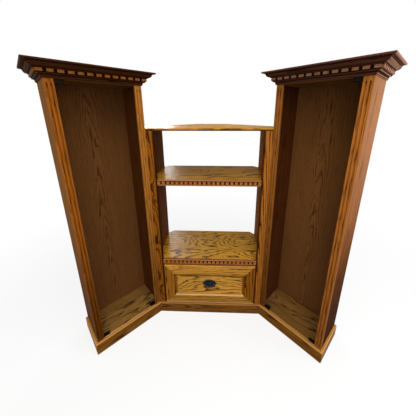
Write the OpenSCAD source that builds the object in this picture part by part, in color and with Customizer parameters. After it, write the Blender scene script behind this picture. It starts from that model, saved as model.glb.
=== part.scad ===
// Corner entertainment center in oak: an open centre unit with one deep drawer,
// and two tall display towers with full-height glass doors, each turned 45 degrees
// forward. Millimetres, +Z up, the front faces -Y. The origin is on the floor, at the
// middle of the whole outline. A tower is drawn in its own plan: s runs along its
// front from the centre unit outwards, t runs from its front to its back.

/* [Overall] */
// Height of the towers, floor to cornice top
tower_h = 1980; // [1900:1:2100]
// Height of the centre unit, floor to the top of its top board
centre_h = 1627; // [1500:1:1750]
// Width of the centre unit's front, between the towers
centre_w = 890; // [840:1:1000]
// Thickness of the cabinet boards
board_t = 18; // [16:0.5:20]
// Thickness of the back panels
back_t = 6; // [4:0.5:8]
// Thickness of the upright strips of the face frames
face_t = 19; // [17:0.5:22]

/* [Base] */
// Height of the plinth and of the floor boards' top faces
plinth_h = 95; // [80:1:120]
// Thickness of the plinth boards
plinth_t = 16; // [12:1:20]
// Size of the eased upper edge of the plinth
plinth_ease = 6; // [3:0.5:9]

/* [Towers] */
// Width of a tower's front, without its mouldings
tower_w = 520; // [460:1:600]
// Depth of a tower
tower_d = 285; // [250:1:340]
// Width of a fluted pilaster
pilaster_w = 46; // [42:1:56]
// Radius of a flute
flute_r = 4.5; // [3.5:0.5:6]
// Depth of a flute
flute_depth = 3; // [2:0.5:3.5]
// Distance between the two flutes of a pilaster
flute_pitch = 19; // [16:1:24]
// Plain length of a pilaster above and below its flutes
flute_stop = 27; // [15:1:60]

/* [Cornice] */
// Height of the cornice
cornice_h = 78; // [74:1:100]
// How far the cornice stands out from the tower
cornice_out = 74; // [68:1:90]
// Height of the fascia along the cornice's top edge
fascia_h = 9; // [6:1:12]
// How far the band behind the dentils stands out
band_out = 24; // [20:1:28]
// Height of the moulding below the dentil band
under_band_h = 24; // [20:1:30]
// Width of a cornice dentil
dentil_w = 29; // [22:1:34]
// Height of a cornice dentil
dentil_h = 14; // [10:1:16]
// How far a cornice dentil stands out from its band
dentil_out = 8; // [5:0.5:10]
// Distance from a cornice's corner back to the first dentil of its return
corner_gap = 3; // [1:0.5:12]
// Number of dentils along a tower's front
dentil_count = 13; // [11:1:15]

/* [Glass doors] */
// Thickness of the glass
glass_t = 6; // [5:0.5:8]
// Distance from the pilaster's face back to the glass
glass_inset = 10; // [8:0.5:14]
// Gap between the glass and each pilaster
door_gap = 2.5; // [2:0.5:3]
// Clearance between a turning clip's corner and the pilaster
swing_gap = 0.5; // [0.3:0.1:0.8]
// Gap between the clips and the floor board or header
clip_gap = 1; // [0.5:0.5:2]
// Length of a clip along the glass
clip_len = 42; // [34:1:60]
// Height of a clip
clip_h = 20; // [16:1:26]
// Thickness of a clip's plates in front of and behind the glass
clip_wall = 4; // [3:0.5:5]
// Thickness of a clip under or over the edge of the glass
clip_web = 3; // [2:0.5:4]
// Radius of a pivot pin
pin_r = 3; // [2:0.5:4]
// Depth of a pin in its bush
pin_depth = 8; // [6:0.5:10]
// Clearance of a pin in its bush, on the radius
pin_fit = 0.05; // [0.03:0.01:0.1]
// Outer radius of a bush
bush_r = 5; // [4.5:0.5:7]
// Length of a bush
bush_len = 10; // [8.5:0.5:14]
// Depth of a magnetic catch behind its strike
catch_d = 20; // [12:1:30]
// Height of a magnetic catch
catch_h = 16; // [12:1:24]
// Clearance between a closed strike and its catch
catch_gap = 0.3; // [0.2:0.1:0.5]

/* [Centre unit] */
// Width of a centre stile
stile_w = 56; // [45:1:70]
// Height of the middle shelf's top face
shelf_top = 1247; // [1100:1:1350]
// Height of the deck's top face
deck_top = 545; // [480:1:620]
// Depth of the middle shelf and of the deck
shelf_d = 450; // [410:1:520]
// Depth of the top board
top_d = 610; // [540:1:700]
// Distance of the top board's slanted back edges from the room corner's line
top_setback = 103; // [60:1:140]
// Distance of the other boards' slanted back edges from the room corner's line
back_setback = 4; // [2:1:20]

/* [Shelf mouldings] */
// Height of the moulding along the middle shelf
shelf_mould_h = 47; // [40:1:60]
// Height of the moulding along the deck
deck_mould_h = 56; // [50:1:64]
// Height of the plain edge along the top
edge_h = 8; // [6:1:10]
// Height of the shaded recess between the plain edge and the dentils
recess_h = 6; // [4:1:8]
// Height of a small dentil
small_dentil_h = 20; // [16:1:21]
// Width of a small dentil
small_dentil_w = 21; // [16:1:26]
// How far the small dentils stand out
small_dentil_out = 6; // [4:0.5:7]
// Number of small dentils in a row
small_dentil_count = 23; // [19:1:26]

/* [Drawer front] */
// Gap around the drawer front
front_gap = 3; // [2:0.5:4]
// Thickness of the drawer front's frame
front_t = 22; // [19:0.5:25]
// Width of the frame's upright members
front_stile_w = 84; // [70:1:100]
// Width of the frame's upper member
front_top_w = 92; // [70:1:100]
// Width of the frame's lower member
front_low_w = 72; // [60:1:95]
// Width of the moulding around the sunk panel
mould_w = 14; // [10:1:18]
// Depth of the moulding, and of the panel behind the frame
mould_d = 12; // [8:1:13]
// Thickness of the sunk panel
panel_t = 6; // [4:0.5:7]
// Depth of the groove that holds the panel
groove_d = 8; // [5:0.5:10]

/* [Drawer box] */
// Thickness of the box's boards
box_t = 12; // [10:0.5:15]
// Depth of the box behind the drawer front
box_d = 340; // [300:1:350]
// Height of the box
box_h = 330; // [260:1:350]
// Thickness of the box's bottom
bottom_t = 6; // [4:0.5:8]
// Distance from the bottom of the drawer front to the box
box_lift = 12; // [8:1:20]
// Space for a slide on each side of the box
slide_w = 12; // [11:0.5:14]
// Length of a slide
slide_len = 330; // [280:5:335]
// Height of a fixed slide channel
slide_h = 46; // [35:1:50]
// Height of the slides' centre above the floor board
slide_up = 150; // [110:1:200]
// Thickness of the slides' metal
slide_t = 2; // [1.5:0.5:2.5]
// Clearance between a fixed and a moving slide
slide_fit = 0.4; // [0.3:0.1:0.6]
// Height of the blocks that carry the slides
block_h = 60; // [52:1:80]
// Gap between the closed drawer front and the ends of the slides and blocks
stop_gap = 1; // [0.5:0.5:1.5]

/* [Drawer pull] */
// Height of the pull's posts above the middle of the sunk panel
pull_up = 13; // [0:1:40]
// Width of the oval backplate
plate_w = 114; // [104:1:130]
// Height of the oval backplate
plate_h = 80; // [60:1:100]
// Width of the backplate across its pointed tips
plate_tips = 127; // [118:1:140]
// Thickness of the backplate
plate_t = 3; // [2:0.5:4]
// Distance between the two posts
post_span = 76; // [64:1:84]
// Radius of a post
post_r = 5; // [4:0.5:6]
// Length of a post in front of the backplate
post_len = 18; // [16:0.5:22]
// Distance from the backplate to the bail
bail_out = 12; // [10:0.5:13]
// Radius of the bail's rod
bail_r = 2.5; // [2:0.25:3]
// Radius of the bail's middle grip
grip_r = 3.6; // [3:0.1:4.5]
// How far the bail hangs below its posts
bail_drop = 31; // [28:1:40]
// Radius of the bail's lower bends
bail_bend = 26; // [10:1:27]
// Radius of the bail's pivots
bail_pin_r = 2.2; // [1.5:0.1:2.4]
// Radius of a screw
screw_r = 2; // [1.5:0.25:2.5]
// Radius of a screw head
head_r = 4.5; // [3.5:0.5:6]
// Height of a screw head
head_h = 2.5; // [2:0.5:3]
// Length of the screws that join the towers to the top board, in the top board
join_depth = 32; // [25:1:45]

/* [Hidden] */

$fn = 48;
// A room corner is square, so each tower turns by half of that
wing = 45;
half_w = centre_w / 2;
// Overlap of cutters past the faces they cut
past = 1;
// Pieces of a curved moulding edge
arc_steps = 6;

// Heights in a tower
case_top = tower_h - 20;
header_z = tower_h - cornice_h;
glass_low = plinth_h + clip_gap + clip_web;
glass_high = header_z - clip_gap - clip_web;
// Places along a tower's front and depth
opening_in = pilaster_w;
opening_out = tower_w - pilaster_w;
glass_mid = glass_inset + glass_t / 2;
clip_front = glass_inset - clip_wall;
clip_depth = glass_t + 2 * clip_wall;
// The pivot stands where the turning clip's outer corner just clears the pilaster
pivot_in = (pow(door_gap, 2) + pow(clip_depth / 2, 2) - pow(swing_gap, 2))
    / (2 * (door_gap - swing_gap));
pivot_s = opening_out - pivot_in;
rabbet = board_t / 2;
back_front = tower_d - back_t;

// The line in plan where the walls of a square room corner would meet
room_corner = half_w + tower_d * (sin(wing) + cos(wing));
top_line = room_corner - top_setback;
back_line = room_corner - back_setback;
// Where the top board turns from a tower's side to its slanted back edge
top_turn = (top_line - half_w) / 2;

// Inner faces of the centre unit, from its middle
stile_in = half_w - stile_w;
panel_in = half_w - rabbet;
panel_out = panel_in + board_t;
side_d = back_line - panel_out;
top_under = centre_h - board_t;
deck_under = deck_top - board_t;
shelf_under = shelf_top - board_t;

// The whole outline's front and back, and the middle between them
outline_front = -(tower_w + cornice_out) * sin(wing) - cornice_out * cos(wing);
middle_y = (outline_front + top_d) / 2;

// The drawer
front_half = stile_in - front_gap;
front_low = plinth_h + 2 * front_gap;
front_high = deck_top - deck_mould_h - front_gap;
sunk_half = front_half - front_stile_w;
sunk_low = front_low + front_low_w;
sunk_high = front_high - front_top_w;
pull_z = (sunk_low + sunk_high) / 2 + pull_up;
box_half = front_half - slide_w;
box_low = front_low + box_lift;
box_front = front_t;
box_back = box_front + box_d;
slide_z = plinth_h + slide_up;
plate_face = mould_d - plate_t;
bail_y = plate_face - bail_out;
arm_x = post_span / 2 + post_r + bail_r + 0.5;

oak = [0.66, 0.43, 0.19];
dark_oak = [0.42, 0.25, 0.12];
shade_oak = [0.55, 0.36, 0.18];
smoked = [0.32, 0.27, 0.23, 0.45];
black = [0.08, 0.08, 0.09];
steel = [0.62, 0.63, 0.65];
ply = [0.70, 0.55, 0.36];

// Points of part of an oval about a centre, from one angle to another
function arc(cx, cy, rx, ry, from, to) =
    [for (i = [0 : arc_steps]) let (a = from + (to - from) * i / arc_steps)
        [cx + rx * cos(a), cy + ry * sin(a)]];

// Mirrors a piece to the left where side is -1
module flip(side) {
    if (side < 0) mirror([1, 0, 0]) children();
    else children();
}

// Puts a tower's own plan into the whole object: side is -1 on the left, 1 on the right
module at_tower(side) {
    flip(side)
        translate([half_w, -middle_y, 0])
            rotate([0, 0, -wing])
                children();
}

module at_centre() {
    translate([0, -middle_y, 0]) children();
}

// Draws a piece of the centre unit on one side: -1 on the left, 1 on the right
module at_centre_side(side) {
    at_centre() flip(side) children();
}

module both_sides() {
    for (side = [-1, 1]) flip(side) children();
}

// Carries an outline of [t, height] points along s
module run_s(from, to, points) {
    translate([from, 0, 0]) rotate([90, 0, 90]) linear_extrude(to - from) polygon(points);
}

// Carries an outline of [s, height] points along t
module run_t(from, to, points) {
    translate([0, to, 0]) rotate([90, 0, 0]) linear_extrude(to - from) polygon(points);
}

// An upright prism over an area of the plan
module plan(low, high, points) {
    translate([0, 0, low]) linear_extrude(high - low) polygon(points);
}

// A prism over an area of the front view, from one depth to another
module elevation(front, back, points) {
    translate([0, back, 0]) rotate([90, 0, 0]) linear_extrude(back - front) polygon(points);
}

// A rod along X between two places
module rod_x(x1, x2, y, z, r) {
    translate([x1, y, z]) rotate([0, 90, 0]) cylinder(r = r, h = x2 - x1);
}

// A rod along Y between two depths
module rod_y(x, y1, y2, z, r) {
    translate([x, y1, z]) rotate([-90, 0, 0]) cylinder(r = r, h = y2 - y1);
}

// Tower case

// The screw holes that join an inner side to the top board
module join_places() {
    for (t = [top_turn * 0.5, top_turn * 1.1])
        translate([0, t, centre_h - board_t / 2]) children();
}

module outer_side() {
    color(oak) difference() {
        translate([tower_w - board_t, face_t, 0])
            cube([board_t, tower_d - face_t, case_top]);
        translate([tower_w - board_t - past, back_front, plinth_h - board_t])
            cube([rabbet + past, back_t + past, case_top]);
    }
}

module inner_side() {
    color(shade_oak) difference() {
        translate([0, face_t, 0]) cube([board_t, tower_d - face_t, case_top]);
        translate([rabbet, back_front, plinth_h - board_t])
            cube([rabbet + past, back_t + past, case_top]);
        join_places() translate([-past, 0, 0])
            rotate([0, 90, 0]) cylinder(r = screw_r, h = board_t + 2 * past);
    }
}

module tower_back() {
    color(shade_oak)
        translate([rabbet, back_front, plinth_h - board_t])
            cube([tower_w - 2 * rabbet, back_t, case_top - plinth_h + board_t]);
}

module tower_floor() {
    color(oak) difference() {
        union() {
            translate([board_t, face_t, plinth_h - board_t])
                cube([tower_w - 2 * board_t, back_front - face_t, board_t]);
            translate([opening_in, 0, plinth_h - board_t])
                cube([opening_out - opening_in, face_t, board_t]);
        }
        translate([pivot_s, glass_mid, plinth_h - bush_len])
            cylinder(r = bush_r, h = bush_len + past);
    }
}

module tower_ceiling() {
    color(shade_oak)
        translate([board_t, face_t, header_z])
            cube([tower_w - 2 * board_t, back_front - face_t, board_t]);
}

// A strip with two flutes, its face at t = 0
module pilaster() {
    flutes_high = header_z - flute_stop;
    flutes_low = plinth_h + flute_stop;
    color(oak) difference() {
        cube([pilaster_w, face_t, case_top]);
        for (x = [-0.5, 0.5])
            translate([pilaster_w / 2 + x * flute_pitch, flute_depth - flute_r, flutes_low])
                cylinder(r = flute_r, h = flutes_high - flutes_low);
    }
}

module outer_pilaster() { translate([opening_out, 0, 0]) pilaster(); }

module inner_pilaster() { pilaster(); }

module header() {
    color(oak) difference() {
        translate([opening_in, 0, header_z])
            cube([opening_out - opening_in, face_t, case_top - header_z]);
        translate([pivot_s, glass_mid, header_z - past])
            cylinder(r = bush_r, h = bush_len + past);
    }
}

// Cornice

// The cornice's outline: distance out from the tower, and height above its lower edge
bead_out = band_out - 4;
dentil_face = band_out + dentil_out;
band_top = under_band_h + dentil_h + 4;
fascia_low = cornice_h - fascia_h;
round_x = dentil_face + 3;
round_low = band_top + 4;
round_top = fascia_low - 3;
cornice_outline = concat(
    [[0, 0], [5, 0], [5, 4], [8, 6], [8, 10]],
    arc(bead_out - 2, 10, bead_out - 10, 10, 180, 140),
    [[bead_out, 18], [bead_out, under_band_h - 2], [band_out, under_band_h]],
    [[band_out, band_top], [dentil_face + 1, band_top], [dentil_face + 1, round_low]],
    arc(round_x, round_top, cornice_out - 19 - round_x, round_top - round_low, -90, 0),
    [[cornice_out - 16, round_top], [cornice_out - 14, fascia_low - 1]],
    [[cornice_out - 2, fascia_low], [cornice_out, fascia_low + 2], [cornice_out, cornice_h]],
    [[0, cornice_h]]
);
function to_front(points) = [for (p = points) [-p[0], p[1] + header_z]];
function to_out(points) = [for (p = points) [tower_w + p[0], p[1] + header_z]];

module cornice_front() {
    color(dark_oak) intersection() {
        run_s(-cornice_out, tower_w + cornice_out, to_front(cornice_outline));
        plan(header_z - past, tower_h + past, [
            [0, 0], [-cornice_out, -cornice_out],
            [tower_w + cornice_out, -cornice_out], [tower_w, 0]
        ]);
    }
}

module cornice_returns() {
    color(dark_oak) {
        intersection() {
            run_t(-cornice_out, tower_d, to_out(cornice_outline));
            plan(header_z - past, tower_h + past, [
                [tower_w, 0], [tower_w + cornice_out, -cornice_out],
                [tower_w + cornice_out, tower_d], [tower_w, tower_d]
            ]);
        }
        intersection() {
            run_t(-cornice_out, tower_d, to_front(cornice_outline));
            plan(header_z - past, tower_h + past, [
                [0, 0], [0, tower_d], [-cornice_out, tower_d], [-cornice_out, -cornice_out]
            ]);
        }
    }
}

// The rows start at the corners of the band; those of the returns stand clear of the front's
module dentils() {
    low = header_z + under_band_h + 2;
    pitch = (tower_w + 2 * band_out - dentil_w) / (dentil_count - 1);
    start = corner_gap - band_out;
    side_count = floor((tower_d - start - dentil_w) / pitch) + 1;
    color(oak) {
        for (i = [0 : dentil_count - 1])
            translate([i * pitch - band_out, -dentil_face, low])
                cube([dentil_w, dentil_out, dentil_h]);
        for (x = [-dentil_face, tower_w + band_out], i = [0 : side_count - 1])
            translate([x, start + i * pitch, low]) cube([dentil_out, dentil_w, dentil_h]);
    }
}

// Plinth: a board with an eased upper edge, as [distance out, height]
plinth_outline = concat(
    [[0, 0], [plinth_t, 0]],
    arc(plinth_t - plinth_ease, plinth_h - plinth_ease, plinth_ease, plinth_ease, 0, 90),
    [[0, plinth_h]]
);
plinth_front_outline = [for (p = plinth_outline) [-p[0], p[1]]];
plinth_side_outline = [for (p = plinth_outline) [tower_w + p[0], p[1]]];
// How far the inner mitre draws the plinth's front corner along the tower
inner_mitre = plinth_t * (1 - cos(wing)) / sin(wing);

module plinth_front() {
    color(oak) intersection() {
        run_s(0, tower_w + plinth_t, plinth_front_outline);
        plan(-past, plinth_h + past, [
            [0, 0], [inner_mitre, -plinth_t], [tower_w + plinth_t, -plinth_t], [tower_w, 0]
        ]);
    }
}

module plinth_side() {
    color(oak) intersection() {
        run_t(-plinth_t, tower_d, plinth_side_outline);
        plan(-past, plinth_h + past, [
            [tower_w, 0], [tower_w + plinth_t, -plinth_t],
            [tower_w + plinth_t, tower_d], [tower_w, tower_d]
        ]);
    }
}

// Glass door

module bush(z) {
    translate([pivot_s, glass_mid, z]) difference() {
        cylinder(r = bush_r, h = bush_len);
        translate([0, 0, -past]) cylinder(r = pin_r + pin_fit, h = bush_len + 2 * past);
    }
}

module bushes() {
    color(black) {
        bush(plinth_h - bush_len);
        bush(header_z);
    }
}

module glass() {
    color(smoked)
        translate([opening_in + door_gap, glass_inset, glass_low])
            cube([opening_out - opening_in - 2 * door_gap, glass_t, glass_high - glass_low]);
}

// A metal channel that grips the lower edge of the glass, from s = 0
module clip() {
    difference() {
        cube([clip_len, clip_depth, clip_h]);
        translate([-past, clip_wall, clip_web])
            cube([clip_len + 2 * past, glass_t, clip_h]);
    }
}

module low_hinge() {
    translate([opening_out - door_gap - clip_len, clip_front, glass_low - clip_web]) clip();
    translate([pivot_s, glass_mid, plinth_h - pin_depth])
        cylinder(r = pin_r, h = pin_depth + clip_gap + clip_web);
}

// Two hinge clips with their pins, and the strike clip at the glass's free corner
module clips() {
    color(black) {
        low_hinge();
        translate([0, 0, plinth_h + header_z]) mirror([0, 0, 1]) low_hinge();
        translate([opening_in + door_gap, clip_front, glass_low - clip_web]) clip();
    }
}

module catch() {
    color(black)
        translate([opening_in + door_gap, clip_front + clip_depth + catch_gap, plinth_h])
            cube([clip_len, catch_d, catch_h]);
}

// Centre unit

module top_board() {
    ease = 3;
    color(oak) difference() {
        intersection() {
            plan(top_under, centre_h, [
                [-half_w, 0], [half_w, 0], [half_w + top_turn, top_turn],
                [top_line - top_d, top_d], [top_d - top_line, top_d],
                [-half_w - top_turn, top_turn]
            ]);
            run_s(-half_w - top_turn, half_w + top_turn, [
                [ease, top_under], [0, top_under + ease], [0, centre_h - ease],
                [ease, centre_h], [top_d, centre_h], [top_d, top_under]
            ]);
        }
        both_sides() translate([half_w, 0, 0]) rotate([0, 0, -wing])
            join_places() translate([-join_depth, 0, 0])
                rotate([0, 90, 0]) cylinder(r = screw_r, h = join_depth + past);
    }
}

module side_panel() {
    color(dark_oak) plan(0, top_under, [
        [panel_in, face_t], [panel_out, face_t], [panel_out, side_d],
        [panel_in, back_line - panel_in]
    ]);
}

// A stile whose outer edge is bevelled to lie against the tower
module stile() {
    color(oak) plan(0, top_under, [
        [stile_in, 0], [half_w, 0], [half_w + face_t, face_t], [stile_in, face_t]
    ]);
}

// A board between the side panels, its back corners clipped for the room corner
module shelf_board(low) {
    clip_x = back_line - shelf_d;
    clip_y = back_line - panel_in;
    plan(low, low + board_t, [
        [-panel_in, face_t], [panel_in, face_t], [panel_in, clip_y], [clip_x, shelf_d],
        [-clip_x, shelf_d], [-panel_in, clip_y]
    ]);
}

module middle_shelf() { color(oak) shelf_board(shelf_under); }

module deck() { color(oak) shelf_board(deck_under); }

// The strip along a shelf's front: plain edge, sunk band for dentils, fillet below them
module shelf_strip(top, height) {
    low = top - height;
    band_low = top - edge_h - recess_h - small_dentil_h - 1;
    band_y = small_dentil_out + 1;
    color(oak) run_s(-stile_in, stile_in, [
        [face_t, low], [4, low], [2, low + 2], [2, band_low - 3], [4, band_low - 2],
        [5, band_low], [band_y, band_low], [band_y, top - edge_h], [0, top - edge_h],
        [0, top - 2], [2, top], [face_t, top]
    ]);
}

module shelf_moulding() { shelf_strip(shelf_top, shelf_mould_h); }

module deck_moulding() { shelf_strip(deck_top, deck_mould_h); }

module dentil_row(top) {
    pitch = (2 * stile_in - small_dentil_w) / (small_dentil_count - 1);
    low = top - edge_h - recess_h - small_dentil_h;
    for (i = [0 : small_dentil_count - 1])
        translate([i * pitch - stile_in, 1, low])
            cube([small_dentil_w, small_dentil_out, small_dentil_h]);
}

module small_dentils() {
    color(oak) {
        dentil_row(shelf_top);
        dentil_row(deck_top);
    }
}

module centre_floor() {
    color(ply) {
        translate([-panel_in, face_t, plinth_h - board_t])
            cube([2 * panel_in, side_d - back_t - face_t, board_t]);
        translate([-stile_in, 0, plinth_h - board_t])
            cube([2 * stile_in, face_t, board_t]);
    }
}

module centre_back() {
    color(ply) translate([-panel_in, side_d - back_t, plinth_h - board_t])
        cube([2 * panel_in, back_t, deck_under - plinth_h + board_t]);
}

module centre_plinth() {
    color(oak) intersection() {
        run_s(-half_w, half_w, plinth_front_outline);
        plan(-past, plinth_h + past, [
            [-half_w, 0], [inner_mitre - half_w, -plinth_t],
            [half_w - inner_mitre, -plinth_t], [half_w, 0]
        ]);
    }
}

// Drawer slides

module slide_blocks() {
    color(ply) both_sides()
        translate([front_half, front_t + stop_gap, slide_z - block_h / 2])
            cube([panel_in - front_half, side_d - back_t - front_t - stop_gap, block_h]);
}

// A channel that opens towards the drawer
module fixed_slides() {
    color(steel) both_sides()
        difference() {
            translate([box_half + slide_t, box_front + stop_gap, slide_z - slide_h / 2])
                cube([slide_w - slide_t, slide_len, slide_h]);
            translate([box_half, box_front, slide_z - slide_h / 2 + slide_t])
                cube([slide_w - slide_t, slide_len + 2 * past, slide_h - 2 * slide_t]);
        }
}

module moving_slides() {
    bar_h = slide_h - 2 * slide_t - 2 * slide_fit;
    color(steel) both_sides()
        translate([box_half, box_front, slide_z - bar_h / 2])
            cube([slide_w - slide_t - slide_fit, slide_len, bar_h]);
}

// Drawer

// The frame's inner moulding: distance past the opening's edge, and depth from the face
mould_outline = concat(
    [[0, 0]],
    [for (i = [0 : arc_steps]) let (a = 90 * i / arc_steps)
        [(mould_w - 2) * (1 - cos(a)), 2 + (mould_d - 3) * sin(a)]],
    [[mould_w, mould_d - 1], [mould_w, mould_d]]
);
// Across a frame member of the given width: [place across, depth]
function member(width) = concat(
    [[2, 0]],
    [for (p = mould_outline) [width + p[0], p[1]]],
    [[width + mould_w - groove_d, mould_d], [width + mould_w - groove_d, mould_d + panel_t]],
    [[width + mould_w, mould_d + panel_t], [width + mould_w, front_t], [0, front_t], [0, 2]]
);

module front_upright() {
    intersection() {
        translate([0, 0, front_low]) linear_extrude(front_high - front_low)
            polygon([for (p = member(front_stile_w)) [front_half - p[0], p[1]]]);
        elevation(-past, front_t + past, [
            [front_half, front_low], [sunk_half, sunk_low],
            [sunk_half - mould_w, sunk_low + mould_w],
            [sunk_half - mould_w, sunk_high - mould_w], [sunk_half, sunk_high],
            [front_half, front_high]
        ]);
    }
}

module front_level(edge, way, width, sunk) {
    intersection() {
        run_s(-front_half, front_half, [for (p = member(width)) [p[1], edge + way * p[0]]]);
        elevation(-past, front_t + past, [
            [-front_half, edge], [front_half, edge], [sunk_half, sunk],
            [sunk_half - mould_w, sunk + way * mould_w],
            [mould_w - sunk_half, sunk + way * mould_w], [-sunk_half, sunk]
        ]);
    }
}

module drawer_front_frame() {
    color(oak) {
        both_sides() front_upright();
        front_level(front_low, 1, front_low_w, sunk_low);
        front_level(front_high, -1, front_top_w, sunk_high);
    }
}

module drawer_front_panel() {
    reach = mould_w - groove_d;
    color(oak) difference() {
        translate([reach - sunk_half, mould_d, sunk_low + reach])
            cube([2 * (sunk_half - reach), panel_t, sunk_high - sunk_low - 2 * reach]);
        pull_holes();
    }
}

// The two screw holes behind the pull's posts
module pull_holes() {
    for (x = [-post_span / 2, post_span / 2])
        rod_y(x, mould_d - past, box_front + box_t + past, pull_z, screw_r);
}

module drawer_box_front() {
    color(ply) difference() {
        translate([box_t - box_half, box_front, box_low])
            cube([2 * (box_half - box_t), box_t, box_h]);
        pull_holes();
    }
}

module drawer_box_sides() {
    color(ply) both_sides()
        translate([box_half - box_t, box_front, box_low]) cube([box_t, box_d, box_h]);
}

module drawer_box_back() {
    color(ply) translate([box_t - box_half, box_back - box_t, box_low])
        cube([2 * (box_half - box_t), box_t, box_h]);
}

module drawer_bottom() {
    color(ply) translate([box_t - box_half, box_front + box_t, box_low + box_t])
        cube([2 * (box_half - box_t), box_d - 2 * box_t, bottom_t]);
}

// Pull

// An oval with two pointed tips, around the pull's centre
function oval(w, h, tips) = [for (i = [0 : 59]) let (a = 6 * i)
    [(w / 2 + (tips - w) / 2 * pow(abs(cos(a)), 24)) * cos(a), h / 2 * sin(a) + pull_z]];

module pull_plate() {
    color(black) difference() {
        union() {
            elevation(plate_face, mould_d, oval(plate_w, plate_h, plate_tips));
            for (x = [-post_span / 2, post_span / 2])
                rod_y(x, plate_face - post_len, plate_face, pull_z, post_r);
        }
        rod_x(-post_span, post_span, bail_y, pull_z, bail_pin_r + pin_fit);
        for (x = [-post_span / 2, post_span / 2])
            rod_y(x, bail_y + bail_r + 1, mould_d + past, pull_z, screw_r);
    }
}

module pull_bail() {
    low = pull_z - bail_drop;
    bar = arm_x - bail_bend;
    color(black) {
        both_sides() {
            rod_x(post_span / 2 - post_r - 1, arm_x, bail_y, pull_z, bail_pin_r);
            translate([arm_x, bail_y, pull_z]) sphere(r = bail_r);
            translate([arm_x, bail_y, low + bail_bend])
                cylinder(r = bail_r, h = bail_drop - bail_bend);
            translate([bar, bail_y, low + bail_bend]) rotate([90, 0, 0])
                rotate([0, 0, -90]) rotate_extrude(angle = 90)
                    translate([bail_bend, 0]) circle(r = bail_r);
            translate([0, bail_y, low]) rotate([0, 90, 0])
                cylinder(r1 = grip_r, r2 = bail_r, h = bar);
        }
    }
}

module screw_along(length) {
    cylinder(r = screw_r, h = length);
    translate([0, 0, -head_h]) cylinder(r = head_r, h = head_h);
}

module joining_screws() {
    color(steel)
        both_sides() translate([half_w, 0, 0]) rotate([0, 0, -wing])
            join_places() translate([board_t, 0, 0])
                rotate([0, -90, 0]) screw_along(board_t + join_depth);
}

module pull_screws() {
    inside = box_front + box_t;
    color(steel)
        for (x = [-post_span / 2, post_span / 2])
            translate([x, inside, pull_z]) rotate([90, 0, 0])
                screw_along(inside - bail_y - bail_r - 1);
}

at_tower(-1) outer_side();  // left_outer_side
at_tower(-1) inner_side();  // left_inner_side
at_tower(-1) tower_back();  // left_back
at_tower(-1) tower_floor();  // left_floor
at_tower(-1) tower_ceiling();  // left_ceiling
at_tower(-1) outer_pilaster();  // left_outer_pilaster
at_tower(-1) inner_pilaster();  // left_inner_pilaster
at_tower(-1) header();  // left_header
at_tower(-1) cornice_front();  // left_cornice_front
at_tower(-1) cornice_returns();  // left_cornice_returns
at_tower(-1) dentils();  // left_dentils
at_tower(-1) plinth_front();  // left_plinth_front
at_tower(-1) plinth_side();  // left_plinth_side
at_tower(-1) bushes();  // left_bushes
at_tower(-1) catch();  // left_catch
at_tower(-1) glass();  // left_glass
at_tower(-1) clips();  // left_clips
at_tower(1) outer_side();  // right_outer_side
at_tower(1) inner_side();  // right_inner_side
at_tower(1) tower_back();  // right_back
at_tower(1) tower_floor();  // right_floor
at_tower(1) tower_ceiling();  // right_ceiling
at_tower(1) outer_pilaster();  // right_outer_pilaster
at_tower(1) inner_pilaster();  // right_inner_pilaster
at_tower(1) header();  // right_header
at_tower(1) cornice_front();  // right_cornice_front
at_tower(1) cornice_returns();  // right_cornice_returns
at_tower(1) dentils();  // right_dentils
at_tower(1) plinth_front();  // right_plinth_front
at_tower(1) plinth_side();  // right_plinth_side
at_tower(1) bushes();  // right_bushes
at_tower(1) catch();  // right_catch
at_tower(1) glass();  // right_glass
at_tower(1) clips();  // right_clips
at_centre() top_board();
at_centre_side(-1) side_panel();  // left_side_panel
at_centre_side(1) side_panel();  // right_side_panel
at_centre_side(-1) stile();  // left_stile
at_centre_side(1) stile();  // right_stile
at_centre() middle_shelf();
at_centre() shelf_moulding();
at_centre() deck();
at_centre() deck_moulding();
at_centre() small_dentils();
at_centre() centre_floor();
at_centre() centre_back();
at_centre() centre_plinth();
at_centre() slide_blocks();
at_centre() fixed_slides();
at_centre() joining_screws();
at_centre() moving_slides();
at_centre() drawer_front_frame();
at_centre() drawer_front_panel();
at_centre() drawer_box_front();
at_centre() drawer_box_sides();
at_centre() drawer_box_back();
at_centre() drawer_bottom();
at_centre() pull_plate();
at_centre() pull_screws();
at_centre() pull_bail();
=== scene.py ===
# %% [markdown]
# # A corner entertainment center in golden oak
#
# The real object is made to stand in a corner: a lower centre unit with two open bays and
# one deep drawer, between two tall display towers that are turned 45 degrees forward.
# Each tower has fluted pilasters, a dentil cornice and a frameless smoked glass door.
#
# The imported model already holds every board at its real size, so it is loaded first and
# stays where it is. The flat boards keep their own solids and only get a finish and eased
# edges. Pieces whose beauty is in a curve, such as mouldings, flutes and the drawer pull,
# are worked out again here as fine surfaces. All lengths are in metres.

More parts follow.
